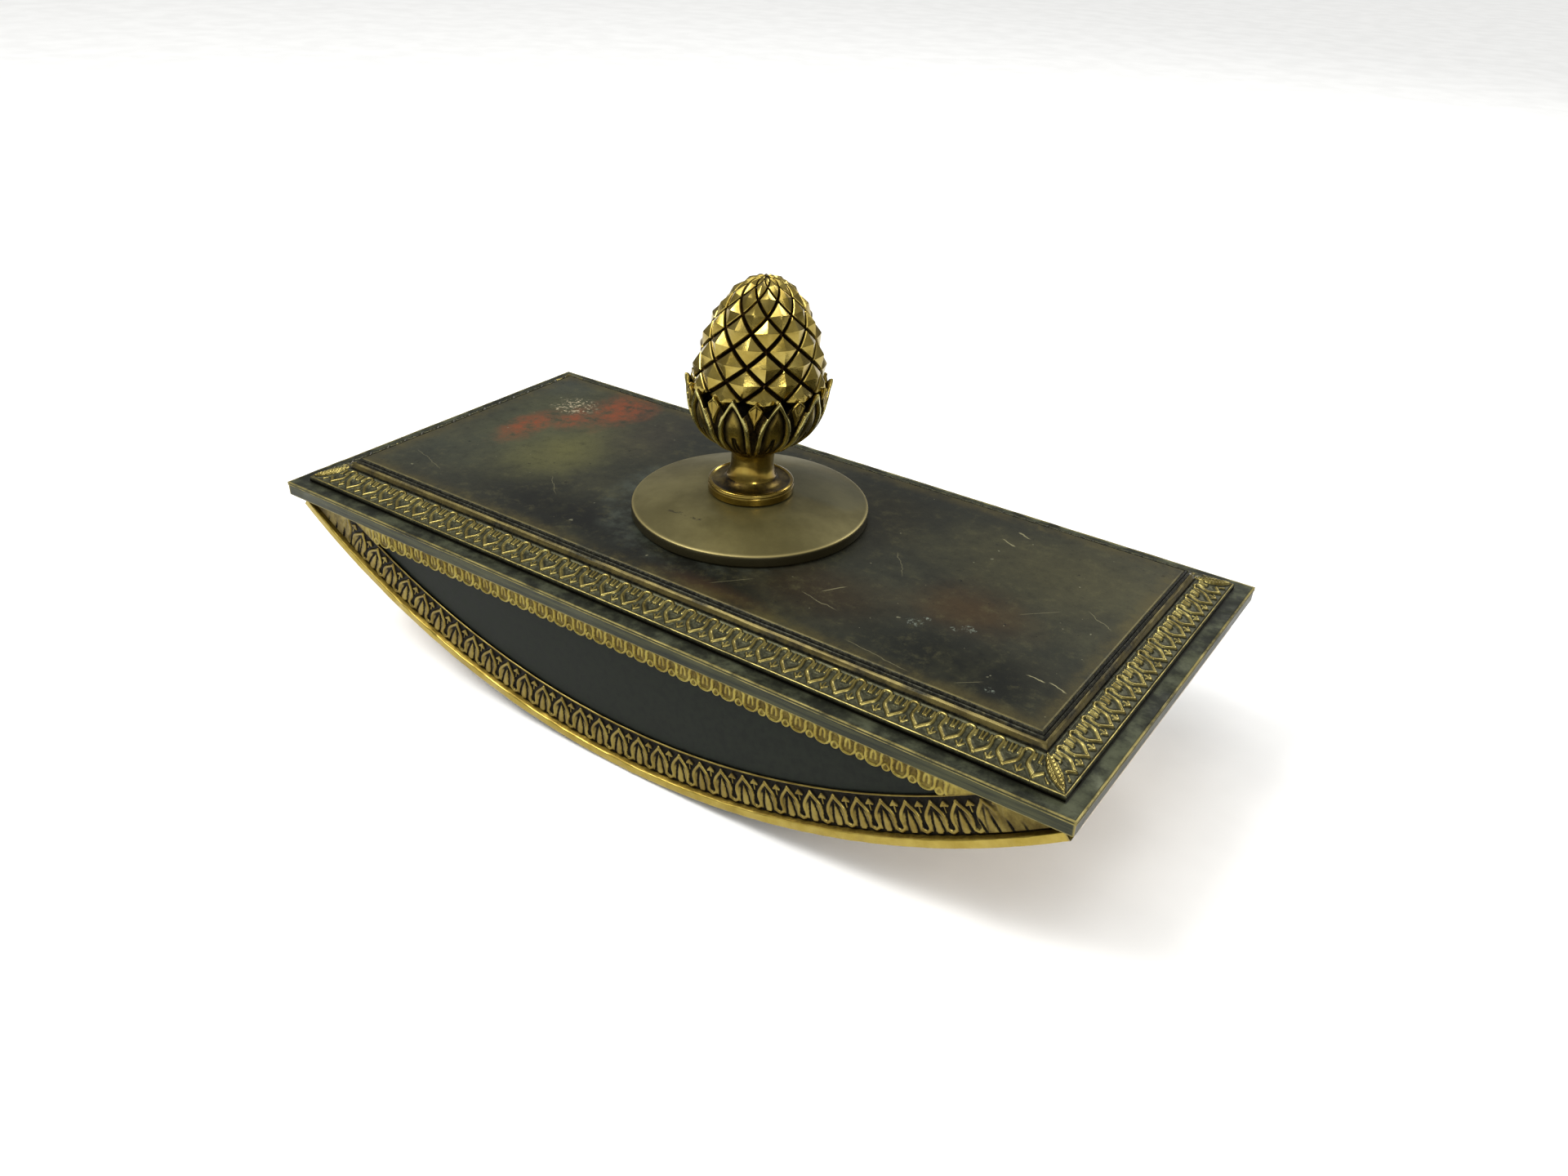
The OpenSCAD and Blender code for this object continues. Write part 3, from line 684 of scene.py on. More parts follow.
def make_calyx():
    n_u, n_t = LEAVES * 60, 110
    theta, t = grid(np.arange(n_u) * 2 * np.pi / n_u, np.linspace(0, 1, n_t))
    share = 2 * np.pi / LEAVES
    from_leaf = (theta + share / 2 + math.radians(2.4)) % share - share / 2
    part = np.abs(from_leaf) / (share / 2)
    tips = np.interp(part, [0, 0.1, 0.3, 0.45, 0.6, 0.72, 0.9, 1.0],
                     [1.1, 0.4, -1.1, -2.2, -1.7, -0.5, 0.2, 0.8])
    rim_z = CALYX_TOP + tips
    z = STEM_TOP + (rim_z - STEM_TOP) * t
    bowl = curve([(8.2, 4.2), (9.0, 4.75), (9.7, 6.2), (10.6, 7.8), (11.8, 9.3), (13.9, 11.1),
                  (16.6, 12.25), (19.0, 12.7), (21.4, 12.9), (23.0, 13.0)], 8)
    r = np.interp(z - COLLAR_Z, bowl[:, 0], bowl[:, 1])
    h, blade = calyx_relief(from_leaf * r, z - COLLAR_Z, share / 2 * r)
    h *= smooth(0.5, 1.5, z - STEM_TOP)
    flare = 0.25 * smooth(CALYX_TOP - 1.5, CALYX_TOP + 0.3, z) * smooth(0.35, 0.0, part)
    outer_r = r + h + flare
    lip_z, lip_r = rim_z[:, :1], outer_r[:, -1:]
    level = np.ones_like(lip_r)
    inner = [(lip_r - 0.35, lip_z + 0.05, 0.8), (lip_r - 0.75, lip_z - 0.1, 0.5),
             (lip_r - 1.1, lip_z - 0.6, 0.0), (10.7 * level, (CALYX_TOP - 3.6) * level, 0.0),
             (9.2 * level, (CALYX_TOP - 7.6) * level, 0.0)]
    rr = np.concatenate([outer_r, *[i[0] for i in inner]], axis=1)
    zz = np.concatenate([z, *[i[1] for i in inner]], axis=1)
    th = theta[:, :1]
    # On the leaves' raised borders the gild rises above 1, which paints them pale: a painted
    # highlight. Inside the blade the gild is lower.
    gild = smooth(-0.55, -0.1, h) * (1 - 0.26 * blade)
    gild = np.where(z < STEM_TOP + 0.8, 0.75, gild)
    gild = np.concatenate([gild, *[i[2] * level for i in inner]], axis=1)
    points = np.stack([rr * np.cos(th), rr * np.sin(th), zz], -1).reshape(-1, 3)
    points = np.concatenate([points, [[0, 0, STEM_TOP], [0, 0, CALYX_TOP - 7.9]]])
    obj = build("calyx_of_leaves", lean(points), turned_faces(n_u, rr.shape[1]),
                np.concatenate([gild.ravel(), [0, 0]]))
    flip_if_inside_out(obj)
    finish_piece(obj, "finial", "leaf_calyx", FINIAL_METAL)


def cone_surface():
    """Radius and height of the cone's scale bases along its outline, by distance from below."""
    t = np.linspace(-0.3, 1, 600)
    up = np.clip(t, 0, 1)
    r = CONE_R * np.sqrt(np.clip(1 - up**2.7, 0, 1)) * (1 - 0.26 * up)
    r = np.where(t < 0, CONE_R + 4.5 * t, r)
    z = CONE_LOW + t * (CONE_TIP + CONE_RISE - CONE_LOW)
    s = np.concatenate([[0], np.cumsum(np.hypot(np.diff(r), np.diff(z)))])
    return s, r, z


def make_cone():
    """Rows of four-sided scales in a net of diamonds. Each scale is a tip with rings round it."""
    s_table, r_table, z_table = cone_surface()
    start = np.interp(CONE_LOW, z_table, s_table)
    end = s_table[-1]
    rows = [start - SCALE_START + SCALE_PITCH * k for k in range(8)]
    rest = end - rows[-1]
    rows += [end - 0.56 * rest, end - 0.2 * rest, end]
    turn, half = math.radians(3.7), math.pi / LEAVES
    rings = np.array([0.0, 0.05, 0.3, 0.6, 0.8, 0.85, 0.9, 1.0])
    lifts = np.interp(rings, [0, 0.05, 0.8, 0.85, 0.9, 1.0], [1.14, 1.1, 0.34, 0.18, -0.3, -0.5])
    gilds = np.interp(rings, [0, 0.6, 0.8, 0.86, 0.9, 1.0], [1.0, 1.0, 0.8, 0.4, 0.0, 0.0])
    side = 7                                                 # points along a scale's side
    m = 4 * side
    j = np.arange(m)
    after = (j + 1) % m
    tip = np.stack([np.zeros(m, int), 1 + j, 1 + after], -1)
    flank = np.concatenate([np.stack([a + j, a + m + j, a + m + after, a + after], -1)
                            for a in 1 + m * np.arange(len(rings) - 2)])
    points, tips, flanks = [], [], []
    for k in range(1, len(rows) - 1):
        for c in range(LEAVES):
            th = 2 * half * c + half * (k % 2) + turn
            centre = np.array([th, rows[k]])
            ends = np.array([(th + half, rows[k]), (th, rows[k + 1]), (th - half, rows[k]),
                             (th, rows[k - 1])])
            edge = np.concatenate([a + (b - a) * np.linspace(0, 1, side, endpoint=False)[:, None]
                                   for a, b in zip(ends, np.roll(ends, -1, axis=0))])
            flat = centre + (edge[None] - centre) * rings[:, None, None]
            width = np.interp(rows[k], s_table, r_table) * half
            tall = min(1.0, 0.15 + width / 3.4)
            angle, s = flat[..., 0], flat[..., 1]
            r = np.interp(s, s_table, r_table)
            z = np.interp(s, s_table, z_table)
            dr = np.interp(s + 0.05, s_table, r_table) - np.interp(s - 0.05, s_table, r_table)
            dz = np.interp(s + 0.05, s_table, z_table) - np.interp(s - 0.05, s_table, z_table)
            run = np.hypot(dr, dz) + 1e-9
            h = (tall * lifts)[:, None] * (1 + 0.06 * rng.standard_normal())
            r, z = r + h * dz / run, z - h * dr / run
            p = np.stack([r * np.cos(angle), r * np.sin(angle), z], -1)
            offset = len(points) * (1 + (len(rings) - 1) * m)
            points.append(np.concatenate([[p[0].mean(0)], p[1:].reshape(-1, 3)]))
            tips.append(tip + offset)
            flanks.append(flank + offset)
    gild = np.tile(np.concatenate([[gilds[0]], np.repeat(gilds[1:], m)]), len(points))
    obj = build("pinecone_of_scales", lean(np.concatenate(points)),
                [np.concatenate(tips), np.concatenate(flanks)], gild)
    weld = obj.modifiers.new("weld", "WELD")
    weld.merge_threshold = 0.00002
    apply_modifiers(obj)
    close_holes(obj)
    flip_if_inside_out(obj)
    sharpen(obj, 8)
    finish_piece(obj, "finial", "pinecone", CONE_METAL)


def apply_modifiers(obj):
    shape = bpy.data.meshes.new_from_object(obj.evaluated_get(bpy.context.evaluated_depsgraph_get()))
    obj.modifiers.clear()
    obj.data = shape


def close_holes(obj):
    bm = bmesh.new()
    bm.from_mesh(obj.data)
    bmesh.ops.holes_fill(bm, edges=[e for e in bm.edges if len(e.link_faces) == 1], sides=0)
    bmesh.ops.recalc_face_normals(bm, faces=bm.faces)
    bm.to_mesh(obj.data)
    bm.free()


def make_stud():
    """The centre stud with its thread."""
    low, high = box_mm("center_stud")
    radius, pitch, depth = high[0], 0.8, 0.42
    n_u, n_v = 48, int((high[2] - low[2]) / 0.1)
    theta, z = grid(np.arange(n_u) * 2 * np.pi / n_u, np.linspace(low[2], high[2], n_v))
    turn = (z / pitch - theta / (2 * np.pi)) % 1
    r = radius - depth * smooth(0.12, 0.5, np.abs(turn - 0.5) * -2 + 1) - 0.02
    r -= 0.5 * smooth(high[2] - 0.8, high[2], z) + 0.5 * smooth(low[2] + 0.8, low[2], z)
    points = np.stack([r * np.cos(theta), r * np.sin(theta), z], -1).reshape(-1, 3)
    points = np.concatenate([points, [[0, 0, low[2]], [0, 0, high[2]]]])
    obj = build("threaded_stud", points, turned_faces(n_u, n_v), np.zeros(len(points)))
    flip_if_inside_out(obj)
    finish_piece(obj, "rocker", "center_stud", STEEL)


# ---------------------------------------------------------------- materials

def srgb(r, g, b):
    """A colour read as 0 to 255 in sRGB, as linear numbers."""
    c = np.array([r, g, b]) / 255
    return (*np.where(c <= 0.04045, c / 12.92, ((c + 0.055) / 1.055) ** 2.4), 1.0)


class Nodes:
    """Short calls for making a node material. Three numbers are a colour, 0 to 255 in sRGB."""

    def __init__(self, name):
        self.material = bpy.data.materials.new(name)
        self.material.use_nodes = True
        self.tree = self.material.node_tree
        self.tree.nodes.clear()
        out = self.add("ShaderNodeOutputMaterial")
        self.shader = self.add("ShaderNodeBsdfPrincipled")
        self.put(self.shader.outputs[0], out.inputs["Surface"])
        self.place = self.add("ShaderNodeTexCoord").outputs["Object"]

    def add(self, kind):
        return self.tree.nodes.new(kind)

    def put(self, value, socket):
        if isinstance(value, bpy.types.NodeSocket):
            self.tree.links.new(value, socket)
        else:
            socket.default_value = srgb(*value) if isinstance(value, tuple) else value

    def math(self, operation, a, b=0.0):
        n = self.add("ShaderNodeMath")
        n.operation = operation
        self.put(a, n.inputs[0])
        self.put(b, n.inputs[1])
        return n.outputs[0]

    def times(self, a, b):
        return self.math("MULTIPLY", a, b)

    def plus(self, a, b):
        return self.math("ADD", a, b)

    def minus(self, a, b):
        return self.math("SUBTRACT", a, b)

    def larger(self, a, b):
        return self.math("MAXIMUM", a, b)

    def size(self, a):
        return self.math("ABSOLUTE", a)

    def ramp(self, value, low, high, to_low=0.0, to_high=1.0):
        n = self.add("ShaderNodeMapRange")
        n.interpolation_type = "SMOOTHSTEP"
        for socket, v in zip(("Value", "From Min", "From Max", "To Min", "To Max"),
                             (value, low, high, to_low, to_high)):
            self.put(v, n.inputs[socket])
        return n.outputs[0]

    def ramp_mm(self, value, low, high):
        """0 to 1 between two places in millimetres."""
        return self.ramp(value, low * MM, high * MM)

    def noise(self, per_metre, detail, rough=0.6, stretch=(1, 1, 1), distort=0.0):
        m = self.add("ShaderNodeMapping")
        m.inputs["Scale"].default_value = stretch
        self.put(self.place, m.inputs[0])
        n = self.add("ShaderNodeTexNoise")
        self.put(m.outputs[0], n.inputs["Vector"])
        n.inputs["Scale"].default_value = per_metre
        n.inputs["Detail"].default_value = detail
        n.inputs["Roughness"].default_value = rough
        n.inputs["Distortion"].default_value = distort
        return n.outputs[0]

    def mix(self, factor, a, b):
        n = self.add("ShaderNodeMix")
        n.data_type = "RGBA"
        self.put(factor, n.inputs["Factor"])
        self.put(a, n.inputs[6])
        self.put(b, n.inputs[7])
        return n.outputs[2]

    def over(self, colour, mask, amount, tint):
        """The colour with that much of a tint over it where the mask is 1."""
        return self.mix(self.times(mask, amount), colour, tint)

    def attribute(self, name):
        n = self.add("ShaderNodeAttribute")
        n.attribute_name = name
        return n.outputs["Fac"]

    def axis(self, index):
        n = self.add("ShaderNodeSeparateXYZ")
        self.put(self.place, n.inputs[0])
        return n.outputs[index]

    def near(self, x, y, radius_x, radius_y, ragged, scale, core=0.6):
        """1 at a place on the cover, in millimetres, fading to 0 over an oval, with a ragged edge."""
        dx = self.times(self.minus(self.axis(0), x * MM), 1 / (radius_x * MM))
        dy = self.times(self.minus(self.axis(1), y * MM), 1 / (radius_y * MM))
        d = self.math("SQRT", self.plus(self.times(dx, dx), self.times(dy, dy)))
        d = self.plus(d, self.times(self.minus(self.noise(scale, 6.0, 0.7), 0.5), ragged))
        return self.ramp(d, core, 1.0, 1.0, 0.0)

    def scratch(self, start, end, half_width, shake):
        """1 along a line between two places on the cover, in millimetres."""
        (x0, y0), (x1, y1) = start, end
        length = math.hypot(x1 - x0, y1 - y0)
        ux, uy = (x1 - x0) / length, (y1 - y0) / length
        dx = self.minus(self.plus(self.axis(0), shake), x0 * MM)
        dy = self.minus(self.plus(self.axis(1), shake), y0 * MM)
        along = self.plus(self.times(dx, ux), self.times(dy, uy))
        off = self.size(self.minus(self.times(dx, uy), self.times(dy, ux)))
        past = self.size(self.minus(along, length / 2 * MM))
        thin = self.ramp(past, 0.3 * length * MM, 0.5 * length * MM, 1.0, 0.0)
        return self.times(self.ramp(off, 0.3 * half_width * MM, half_width * MM, 1.0, 0.0), thin)

    def line(self, value, middle, half_width):
        """1 where the value is near the middle, in millimetres."""
        off = self.size(self.minus(value, middle * MM))
        return self.ramp_mm(off, half_width, 0.45 * half_width)

    def finish(self, colour, rough, metallic, height, strength, depth, specular=0.5):
        """Fills in the shader. The height makes bumps of that strength and depth in millimetres."""
        self.put(colour, self.shader.inputs["Base Color"])
        self.put(rough, self.shader.inputs["Roughness"])
        self.put(metallic, self.shader.inputs["Metallic"])
        self.put(specular, self.shader.inputs["Specular IOR Level"])
        n = self.add("ShaderNodeBump")
        self.put(strength, n.inputs["Strength"])
        self.put(depth * MM, n.inputs["Distance"])
        self.put(height, n.inputs["Height"])
        self.put(n.outputs[0], self.shader.inputs["Normal"])
        return self.material


def metal(name, dark, mid, gold, metallic, rough, grain, low, high, patch):
    """Bronze with gilding on its high points. dark and mid are the ground's two colours, gold the
    gilding's two, and rough is for ground and gilding. The gilding starts where the piece's gild
    is low and is full where it is high, patch is how unevenly it is worn, grain the bumps."""
    n = Nodes(name)
    gild = n.attribute("gild")
    mottle = n.noise(260, 6.0, 0.65)
    fine = n.noise(1500, 5.0, 0.6)
    wear = n.plus(gild, n.times(n.minus(mottle, 0.5), patch * 2))
    mask = n.ramp(wear, low, high)
    ground = n.mix(n.ramp(fine, 0.35, 0.7), dark, mid)
    bright = n.mix(n.ramp(mottle, 0.3, 0.75), *gold)
    colour = n.mix(mask, ground, bright)
    # gild above 1 turns the colour pale: a painted highlight
    colour = n.mix(n.ramp(gild, 1.02, 1.3), colour, (164, 154, 94))
    # gild below 0 turns the colour black: painted shade
    colour = n.mix(n.ramp(gild, -0.7, -0.2), (12, 11, 8), colour)
    return n.finish(colour, n.ramp(mask, 0, 1, *rough), metallic,
                    n.plus(fine, n.times(mottle, 0.6)), grain, 0.06)


# marks on the top of the cover, with places and sizes in millimetres
CLOUDS = (                            # x, y, radii along x and y, colour, strength
    (-56, 8, 26, 34, (78, 80, 56), 0.85), (-66, -14, 14, 20, (60, 64, 53), 0.5),
    (-46, -2, 13, 20, (94, 92, 54), 0.9), (-70, 26, 12, 10, (58, 62, 54), 0.7),
    (-38, 16, 14, 20, (60, 56, 44), 0.7), (-24, -22, 30, 14, (20, 21, 17), 0.95),
    (6, -25, 30, 12, (20, 20, 15), 0.9), (22, 12, 16, 26, (42, 40, 28), 0.7),
    (56, 14, 34, 24, (70, 67, 45), 0.8), (50, -6, 16, 12, (66, 50, 28), 0.8),
    (27, -17, 18, 12, (46, 36, 21), 0.8), (12, -28, 16, 4, (66, 44, 22), 0.5),
    (58, -23, 30, 13, (20, 22, 16), 1.0), (20, 27, 40, 6, (34, 36, 30), 0.6))
CHIPS = (                             # x, y, radius
    (44.8, -15.6, 1.7), (53, -12, 1.5), (46, -13.4, 0.8), (51, -13.4, 0.9), (63.5, -25.6, 1.1))
SCRATCHES = (                         # start, end, half width, strength
    ((66.2, -18.2), (69.6, -18.6), 0.1, 0.9), ((69.8, -18.0), (73.4, -19.4), 0.12, 0.9),
    ((44, 24.5), (47.5, 23.5), 0.14, 0.8), ((43, 20.5), (46.5, 18.8), 0.14, 0.8),
    ((27, -17), (30, -12.5), 0.12, 0.5), ((24, -19), (33, -20.5), 0.08, 0.4),
    ((10, -27), (16, -20), 0.07, 0.35), ((-40, -12), (-33, -18), 0.06, 0.3),
    ((57, -3), (63, 3), 0.06, 0.35), ((38, -27), (52, -29), 0.07, 0.4),
    ((66, 6), (72, 2), 0.07, 0.4), ((58, -27.5), (62, -24), 0.06, 0.35),
    ((-70, -20), (-58, -24), 0.06, 0.3), ((30, 4), (36, -4), 0.06, 0.3))


def clouded(n, clouds, drift, fine):
    """Olive and brown clouds, paler and darker dust."""
    colour = n.mix(n.ramp(clouds, 0.34, 0.68), (40, 42, 34), (58, 57, 43))
    for x, y, radius_x, radius_y, tint, amount in CLOUDS:
        colour = n.over(colour, n.near(x, y, radius_x, radius_y, 0.9, 70, 0.05), amount, tint)
    colour = n.over(colour, n.ramp(drift, 0.5, 0.75), 0.25, (92, 90, 60))
    dust = n.noise(300, 8.0, 0.8)
    colour = n.over(colour, n.ramp(dust, 0.5, 0.72), 0.35, (98, 94, 62))
    colour = n.over(colour, n.ramp(dust, 0.5, 0.3), 0.4, (22, 22, 16))
    return n.over(colour, n.ramp(fine, 0.52, 0.75), 0.3, (24, 24, 20))


def stained(n, colour):
    """A red stain with a pale crust in it, grey chips, and a grey ring round the collar."""
    speck = n.ramp(n.noise(300, 8.0, 0.8), 0.34, 0.62)
    stain = n.larger(n.near(-61, 4, 6, 13, 1.0, 110, 0.15), n.near(-51.5, 22, 9, 16, 1.0, 110, 0.2))
    stain = n.larger(stain, n.near(-56, 12, 6, 9, 0.9, 110, 0.15))
    colour = n.over(colour, n.times(stain, speck), 0.85, (136, 66, 36))
    crust = n.times(n.near(-60.5, 17.5, 6, 5, 1.3, 260), n.ramp(n.noise(1300, 4.0, 0.7), 0.52, 0.6))
    colour = n.over(colour, crust, 0.9, (178, 164, 134))
    for x, y, radius in CHIPS:
        chip = n.times(n.near(x, y, radius, radius * 0.8, 1.8, 900),
                       n.ramp(n.noise(1400, 4.0, 0.7), 0.48, 0.62))
        colour = n.over(colour, chip, 0.75, (128, 136, 122))
    ring = n.near(-3, -3, COLLAR_R + 4.2, COLLAR_R + 3.2, 0.2, 220, 0.8)
    ring = n.times(ring, n.ramp(n.noise(200, 6.0, 0.7), 0.38, 0.7))
    return n.over(colour, ring, 0.5, (84, 90, 78))


def scratched(n, colour):
    """Bright scratches that waver a little, pale flecks and dark pits."""
    shake = n.times(n.minus(n.noise(260, 3.0, 0.6), 0.5), 0.0014)
    for start, end, half_width, strength in SCRATCHES:
        mark = n.scratch(start, end, half_width * 1.6, shake)
        colour = n.over(colour, mark, strength, (150, 144, 108))
    colour = n.over(colour, n.ramp(n.noise(610, 2.0, 0.5), 0.735, 0.76), 0.6, (132, 130, 104))
    return n.over(colour, n.ramp(n.noise(520, 3.0, 0.6), 0.7, 0.74), 0.7, (16, 16, 13))


def worn_edges(n, colour):
    """The streaked side, the dull ledge with a dark line of painted shadow at the foot of the border,
    brass where the arrises and the panel are rubbed, and a faint pale line of painted highlight along
    the panel's edge.
    """
    past_x = n.minus(n.size(n.axis(0)), HALF_L * MM)
    past_y = n.minus(n.size(n.axis(1)), HALF_W * MM)
    out = n.larger(past_x, past_y)                     # 0 on the cover's outline, below 0 inside
    z = n.axis(2)
    rubbed = n.ramp(n.noise(150, 6.0, 0.75), 0.35, 0.6, 0.15, 1.0)
    halo = n.times(n.ramp_mm(out, -(PANEL_IN + 4), -(PANEL_IN + 0.4)), rubbed)
    colour = n.over(colour, halo, 0.5, (84, 74, 38))
    side = n.times(n.ramp_mm(out, -0.4, -0.2), n.ramp_mm(z, LEDGE_Z - 0.05, LEDGE_Z - 0.15))
    streak = n.noise(60, 6.0, 0.7, stretch=(1, 1, 30))
    colour = n.mix(side, colour, n.mix(n.ramp(streak, 0.35, 0.65), (32, 35, 27), (66, 67, 44)))
    ledge = n.times(n.ramp_mm(out, -(BORDER_OUT + 0.2), -(BORDER_OUT - 0.2)),
                    n.ramp_mm(z, LEDGE_Z - 0.3, LEDGE_Z - 0.1))
    ledge = n.times(ledge, n.minus(1.0, side))
    pale = n.mix(n.ramp(n.noise(150, 6.0, 0.68), 0.4, 0.68), (30, 32, 23), (80, 83, 63))
    colour = n.mix(ledge, colour, pale)
    # A near-black line painted on the ledge along the foot of the border's outer edge: painted shadow
    # under the border's edge. The ledge has no groove there.
    quirk = n.line(out, -BORDER_OUT - 0.1, 0.4)
    colour = n.mix(n.times(quirk, ledge), colour, (14, 14, 11))
    top_edge = n.times(n.line(out, -0.18, 0.26), n.ramp_mm(z, LEDGE_Z - 0.2, LEDGE_Z - 0.12))
    low_line = n.times(n.ramp_mm(out, -0.3, -0.1), n.line(z, LEDGE_Z - 0.54, 0.13))
    arris = n.times(n.ramp_mm(out, -0.3, -0.15), n.line(z, PLATE_Z + 0.06, 0.16))
    # A faint pale line along the panel's raised edge: a painted edge highlight.
    panel_edge = n.times(n.line(out, -PANEL_IN - 0.22, 0.3),
                         n.ramp_mm(z, PANEL_Z - 0.6, PANEL_Z - 0.2))
    worn = n.larger(n.larger(top_edge, low_line),
                    n.larger(n.times(panel_edge, 0.18), n.times(arris, 0.8)))
    corner = n.times(n.ramp_mm(n.plus(past_x, past_y), -0.7, -0.3), n.ramp_mm(out, -0.5, -0.3))
    return n.mix(n.times(n.larger(worn, corner), rubbed), colour, (138, 126, 72))


def plate_metal():
    """The patinated cover."""
    n = Nodes("cover_patina")
    clouds = n.noise(26, 6.0, 0.6, distort=0.5)
    drift = n.noise(60, 6.0, 0.65)
    fine = n.noise(900, 6.0, 0.7)
    colour = worn_edges(n, scratched(n, stained(n, clouded(n, clouds, drift, fine))))
    rough = n.plus(n.ramp(clouds, 0.3, 0.7, 0.3, 0.42), n.times(fine, 0.16))
    return n.finish(colour, rough, 0.5, n.plus(fine, n.times(clouds, 1.5)), 0.35, 0.05, 0.25)


def collar_metal():
    """Worn khaki brass with clouds and small dark cracks, a darker side that is painted shade, and a
    bright lip that is a painted highlight.
    """
    n = Nodes("collar_patina")
    clouds = n.noise(70, 6.0, 0.6)
    fine = n.noise(1200, 5.0, 0.65)
    colour = n.mix(n.ramp(clouds, 0.35, 0.7), (88, 81, 46), (118, 110, 69))
    colour = n.over(colour, n.near(9, 11, 12, 9, 0.8, 90), 0.35, (92, 94, 80))
    colour = n.over(colour, n.ramp(n.noise(420, 5.0, 0.8), 0.68, 0.74), 0.6, (46, 42, 28))
    crack = n.times(n.near(-3.5, -15, 6, 0.5, 0.9, 260), n.ramp(n.noise(700, 5.0, 0.8), 0.5, 0.56))
    colour = n.over(colour, crack, 0.7, (30, 27, 18))
    # The collar's upright side and underside are painted darker: painted shade.
    side = n.ramp_mm(n.axis(2), PANEL_Z + 2.3, PANEL_Z + 2.0)
    colour = n.over(colour, side, 0.8, (44, 40, 25))
    # Bright where the gild is high, on the lip: a painted highlight.
    colour = n.mix(n.ramp(n.attribute("gild"), 0.3, 0.9), colour, (134, 122, 76))
    rough = n.plus(n.ramp(clouds, 0.3, 0.7, 0.42, 0.34), n.times(fine, 0.08))
    return n.finish(colour, rough, 0.7, n.plus(fine, clouds), 0.3, 0.04)


def plain_metal(name, dark, light, rough, metallic, stretch=(1, 1, 1), specular=0.5):
    n = Nodes(name)
    streaks = n.noise(700, 5.0, 0.6, stretch=stretch)
    return n.finish(n.mix(n.ramp(streaks, 0.3, 0.7), dark, light),
                    n.ramp(streaks, 0.3, 0.7, rough - 0.08, rough + 0.1), metallic,
                    streaks, 0.25, 0.04, specular)


def paper():
    n = Nodes("blotting_paper_fibres")
    fibres = n.noise(2600, 6.0, 0.75, stretch=(1, 0.35, 1), distort=1.5)
    clouds = n.noise(90, 4.0, 0.6)
    colour = n.mix(n.ramp(fibres, 0.3, 0.7), (206, 190, 172), (232, 222, 208))
    colour = n.mix(n.ramp(clouds, 0.4, 0.75, 0.0, 0.35), colour, (196, 184, 170))
    blot = n.times(n.ramp(n.noise(150, 5.0, 0.7), 0.66, 0.72), n.ramp(n.noise(30, 2.0), 0.5, 0.6))
    colour = n.over(colour, blot, 0.45, (84, 92, 128))
    return n.finish(colour, 0.95, 0.0, fibres, 0.6, 0.05)


# name, ground's colours, gilding's colours, metallic, rough, grain, low, high, patch
BORDER_METAL = metal("border_gilding", (46, 46, 33), (72, 71, 50), ((104, 91, 44), (148, 136, 78)),
                     0.88, (0.48, 0.28), 0.5, 0.35, 0.95, 0.4)
MOULDING_METAL = metal("moulding_gilding", (18, 18, 13), (56, 55, 42), ((68, 59, 30), (98, 88, 48)),
                       0.8, (0.5, 0.42), 0.5, 0.35, 0.95, 0.65)
FRIEZE_METAL = metal("frieze_gilding", (12, 10, 7), (30, 25, 14), ((112, 94, 42), (146, 130, 68)),
                     0.92, (0.5, 0.3), 0.5, 0.3, 0.95, 0.25)
UPPER_METAL = metal("upper_frieze_gilding", (72, 60, 26), (100, 84, 38),
                    ((132, 114, 48), (160, 146, 74)), 0.9, (0.45, 0.3), 0.5, 0.3, 0.9, 0.35)
RIM_METAL = metal("rim_gilding", (104, 86, 34), (126, 106, 44), ((148, 128, 54), (172, 152, 76)),
                  0.95, (0.4, 0.28), 0.6, 0.1, 0.7, 0.3)
FINIAL_METAL = metal("finial_gilding", (18, 14, 8), (44, 34, 15), ((118, 98, 40), (150, 134, 68)),
                     0.97, (0.42, 0.24), 0.35, 0.15, 0.8, 0.16)
FOOT_METAL = metal("foot_gilding", (20, 16, 8), (48, 36, 15), ((118, 94, 36), (146, 126, 60)),
                   0.97, (0.42, 0.2), 0.12, 0.3, 0.7, 0.3)
CONE_METAL = metal("cone_gilding", (30, 21, 10), (62, 46, 20), ((142, 122, 54), (172, 154, 84)),
                   0.97, (0.4, 0.2), 0.45, 0.1, 0.6, 0.15)
PLATE_METAL = plate_metal()
COLLAR_METAL = collar_metal()
WALL_METAL = plain_metal("side_patina", (19, 22, 17), (28, 32, 25), 0.42, 0.1, specular=0.1)
RAW_BRASS = plain_metal("filed_brass", (110, 88, 48), (150, 126, 76), 0.42, 0.9, (1, 8, 1))
STEEL = plain_metal("turned_steel", (86, 84, 80), (126, 124, 118), 0.4, 0.95, (1, 1, 6))
PAPER = paper()


def finish_piece(obj, body, node, material):
    obj.data.materials.clear()
    obj.data.materials.append(material)
    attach(obj, body)
    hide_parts(node)


def dress_cad(names, material):
    """CAD nodes that stay as they are get a better material."""
    for name in names:
        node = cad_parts[name]
        if not node.material_slots:
            node.data.materials.append(material)
        for slot in node.material_slots:
            slot.material = material


# ---------------------------------------------------------------- the object

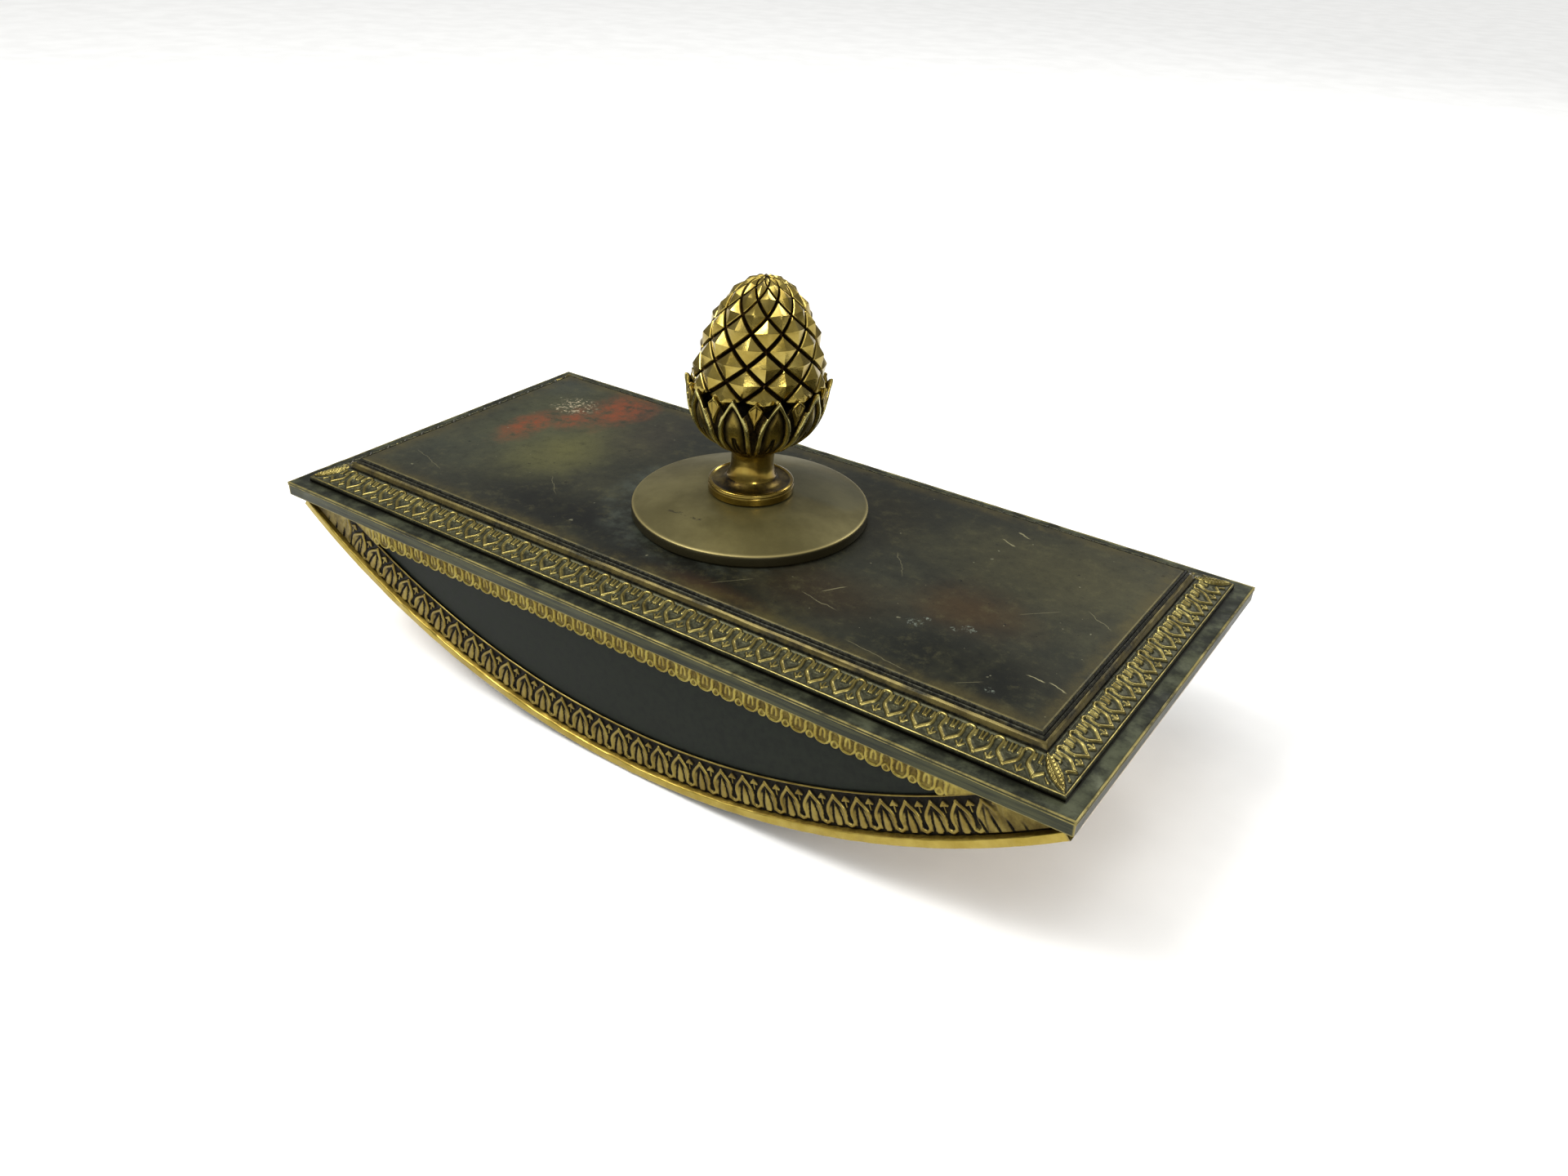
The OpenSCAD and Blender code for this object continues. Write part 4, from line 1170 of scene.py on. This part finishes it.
def make_object():
    for side, length, period, turn in (
        ("front", LONG_SIDE, LONG_PERIOD, 0), ("right", SHORT_SIDE, SHORT_PERIOD, 90),
        ("rear", LONG_SIDE, LONG_PERIOD, 180), ("left", SHORT_SIDE, SHORT_PERIOD, 270),
    ):
        make_border(side, length, period, turn)
    make_corners()
    make_moulding()
    make_cover()
    make_collar()
    for side, sign in (("front", -1), ("rear", 1)):
        make_rim(side, sign)
        make_lower_frieze(side, sign)
        make_upper_frieze(side, sign)
    make_stem()
    make_calyx()
    make_cone()
    make_stud()
    dress_cad(["front_side_wall", "rear_side_wall"], WALL_METAL)
    dress_cad(["left_end_bar", "right_end_bar", "bridge_bar", "sole_plate", "frame_screws",
               "sole_screws"], RAW_BRASS)
    dress_cad(["bridge_screws", "stud_washer", "stud_nut", "locating_pins"], STEEL)
    dress_cad(["blotting_paper"], PAPER)


# ---------------------------------------------------------------- stage, light and camera

def make_stage():
    bpy.ops.mesh.primitive_plane_add(size=12, location=(0, 0, 0))
    floor = bpy.context.object
    floor.name = "studio_floor"
    n = Nodes("studio_floor_paint")
    grain = n.noise(40, 3.0, 0.5)
    n.put(n.mix(n.ramp(grain, 0.3, 0.7), (240, 240, 238), (246, 246, 244)),
          n.shader.inputs["Base Color"])
    n.put(0.9, n.shader.inputs["Roughness"])
    floor.data.materials.append(n.material)


def hang_lamp(name, data, direction, place=(0, 0, 0)):
    lamp = bpy.data.objects.new(name, data)
    lamp.location = place
    lamp.rotation_euler = direction.to_track_quat("-Z", "Y").to_euler()
    bpy.context.scene.collection.objects.link(lamp)


def area_light(name, place, aim, size, power):
    data = bpy.data.lights.new(name, "AREA")
    data.shape = "RECTANGLE"
    data.size, data.size_y = size
    data.energy = power
    hang_lamp(name, data, Vector(aim) - Vector(place), place)


def make_sky():
    """Even white light, weaker from below."""
    world = bpy.data.worlds.new("studio_world")
    bpy.context.scene.world = world
    world.use_nodes = True
    tree = world.node_tree
    tree.nodes.clear()
    out = tree.nodes.new("ShaderNodeOutputWorld")
    back = tree.nodes.new("ShaderNodeBackground")
    place = tree.nodes.new("ShaderNodeTexCoord")
    split = tree.nodes.new("ShaderNodeSeparateXYZ")
    ramp = tree.nodes.new("ShaderNodeMapRange")
    ramp.interpolation_type = "SMOOTHSTEP"
    for socket, value in zip(("From Min", "From Max", "To Min", "To Max"), (-0.1, 0.9, 0.16, 0.55)):
        ramp.inputs[socket].default_value = value
    tree.links.new(place.outputs["Generated"], split.inputs[0])
    tree.links.new(split.outputs[2], ramp.inputs["Value"])
    tree.links.new(ramp.outputs[0], back.inputs["Strength"])
    tree.links.new(back.outputs[0], out.inputs[0])
    back.inputs["Color"].default_value = (1, 1, 1, 1)


def make_light():
    make_sky()
    sun = bpy.data.lights.new("soft_sun", "SUN")
    sun.energy, sun.angle = 1.6, math.radians(55)
    hang_lamp("soft_sun", sun, Vector((0.35, 0.4, -1.2)))
    area_light("key_softbox", (-0.35, -0.35, 0.75), (0, 0, 0.04), (0.3, 0.3), 4.5)
    area_light("fill_softbox", (0.6, -0.5, 0.45), (0, 0, 0.03), (0.2, 0.2), 1.8)
    area_light("back_softbox", (0.2, 0.7, 0.6), (0, 0, 0.04), (0.3, 0.2), 2.2)


def make_camera():
    """The camera that was fitted to the photo, in metres and degrees."""
    data = bpy.data.cameras.new("photo_camera")
    data.sensor_width = 36.0
    data.lens = 28.95
    data.clip_start = 0.01
    camera = bpy.data.objects.new("photo_camera", data)
    camera.location = (0.12385, -0.17505, 0.11283 + LEDGE_Z * MM)
    camera.rotation_euler = [math.radians(a) for a in (59.74, -2.23, 34.68)]
    bpy.context.scene.collection.objects.link(camera)
    bpy.context.scene.camera = camera


bpy.context.scene.view_settings.view_transform = "Standard"
make_camera()
make_object()
make_stage()
make_light()
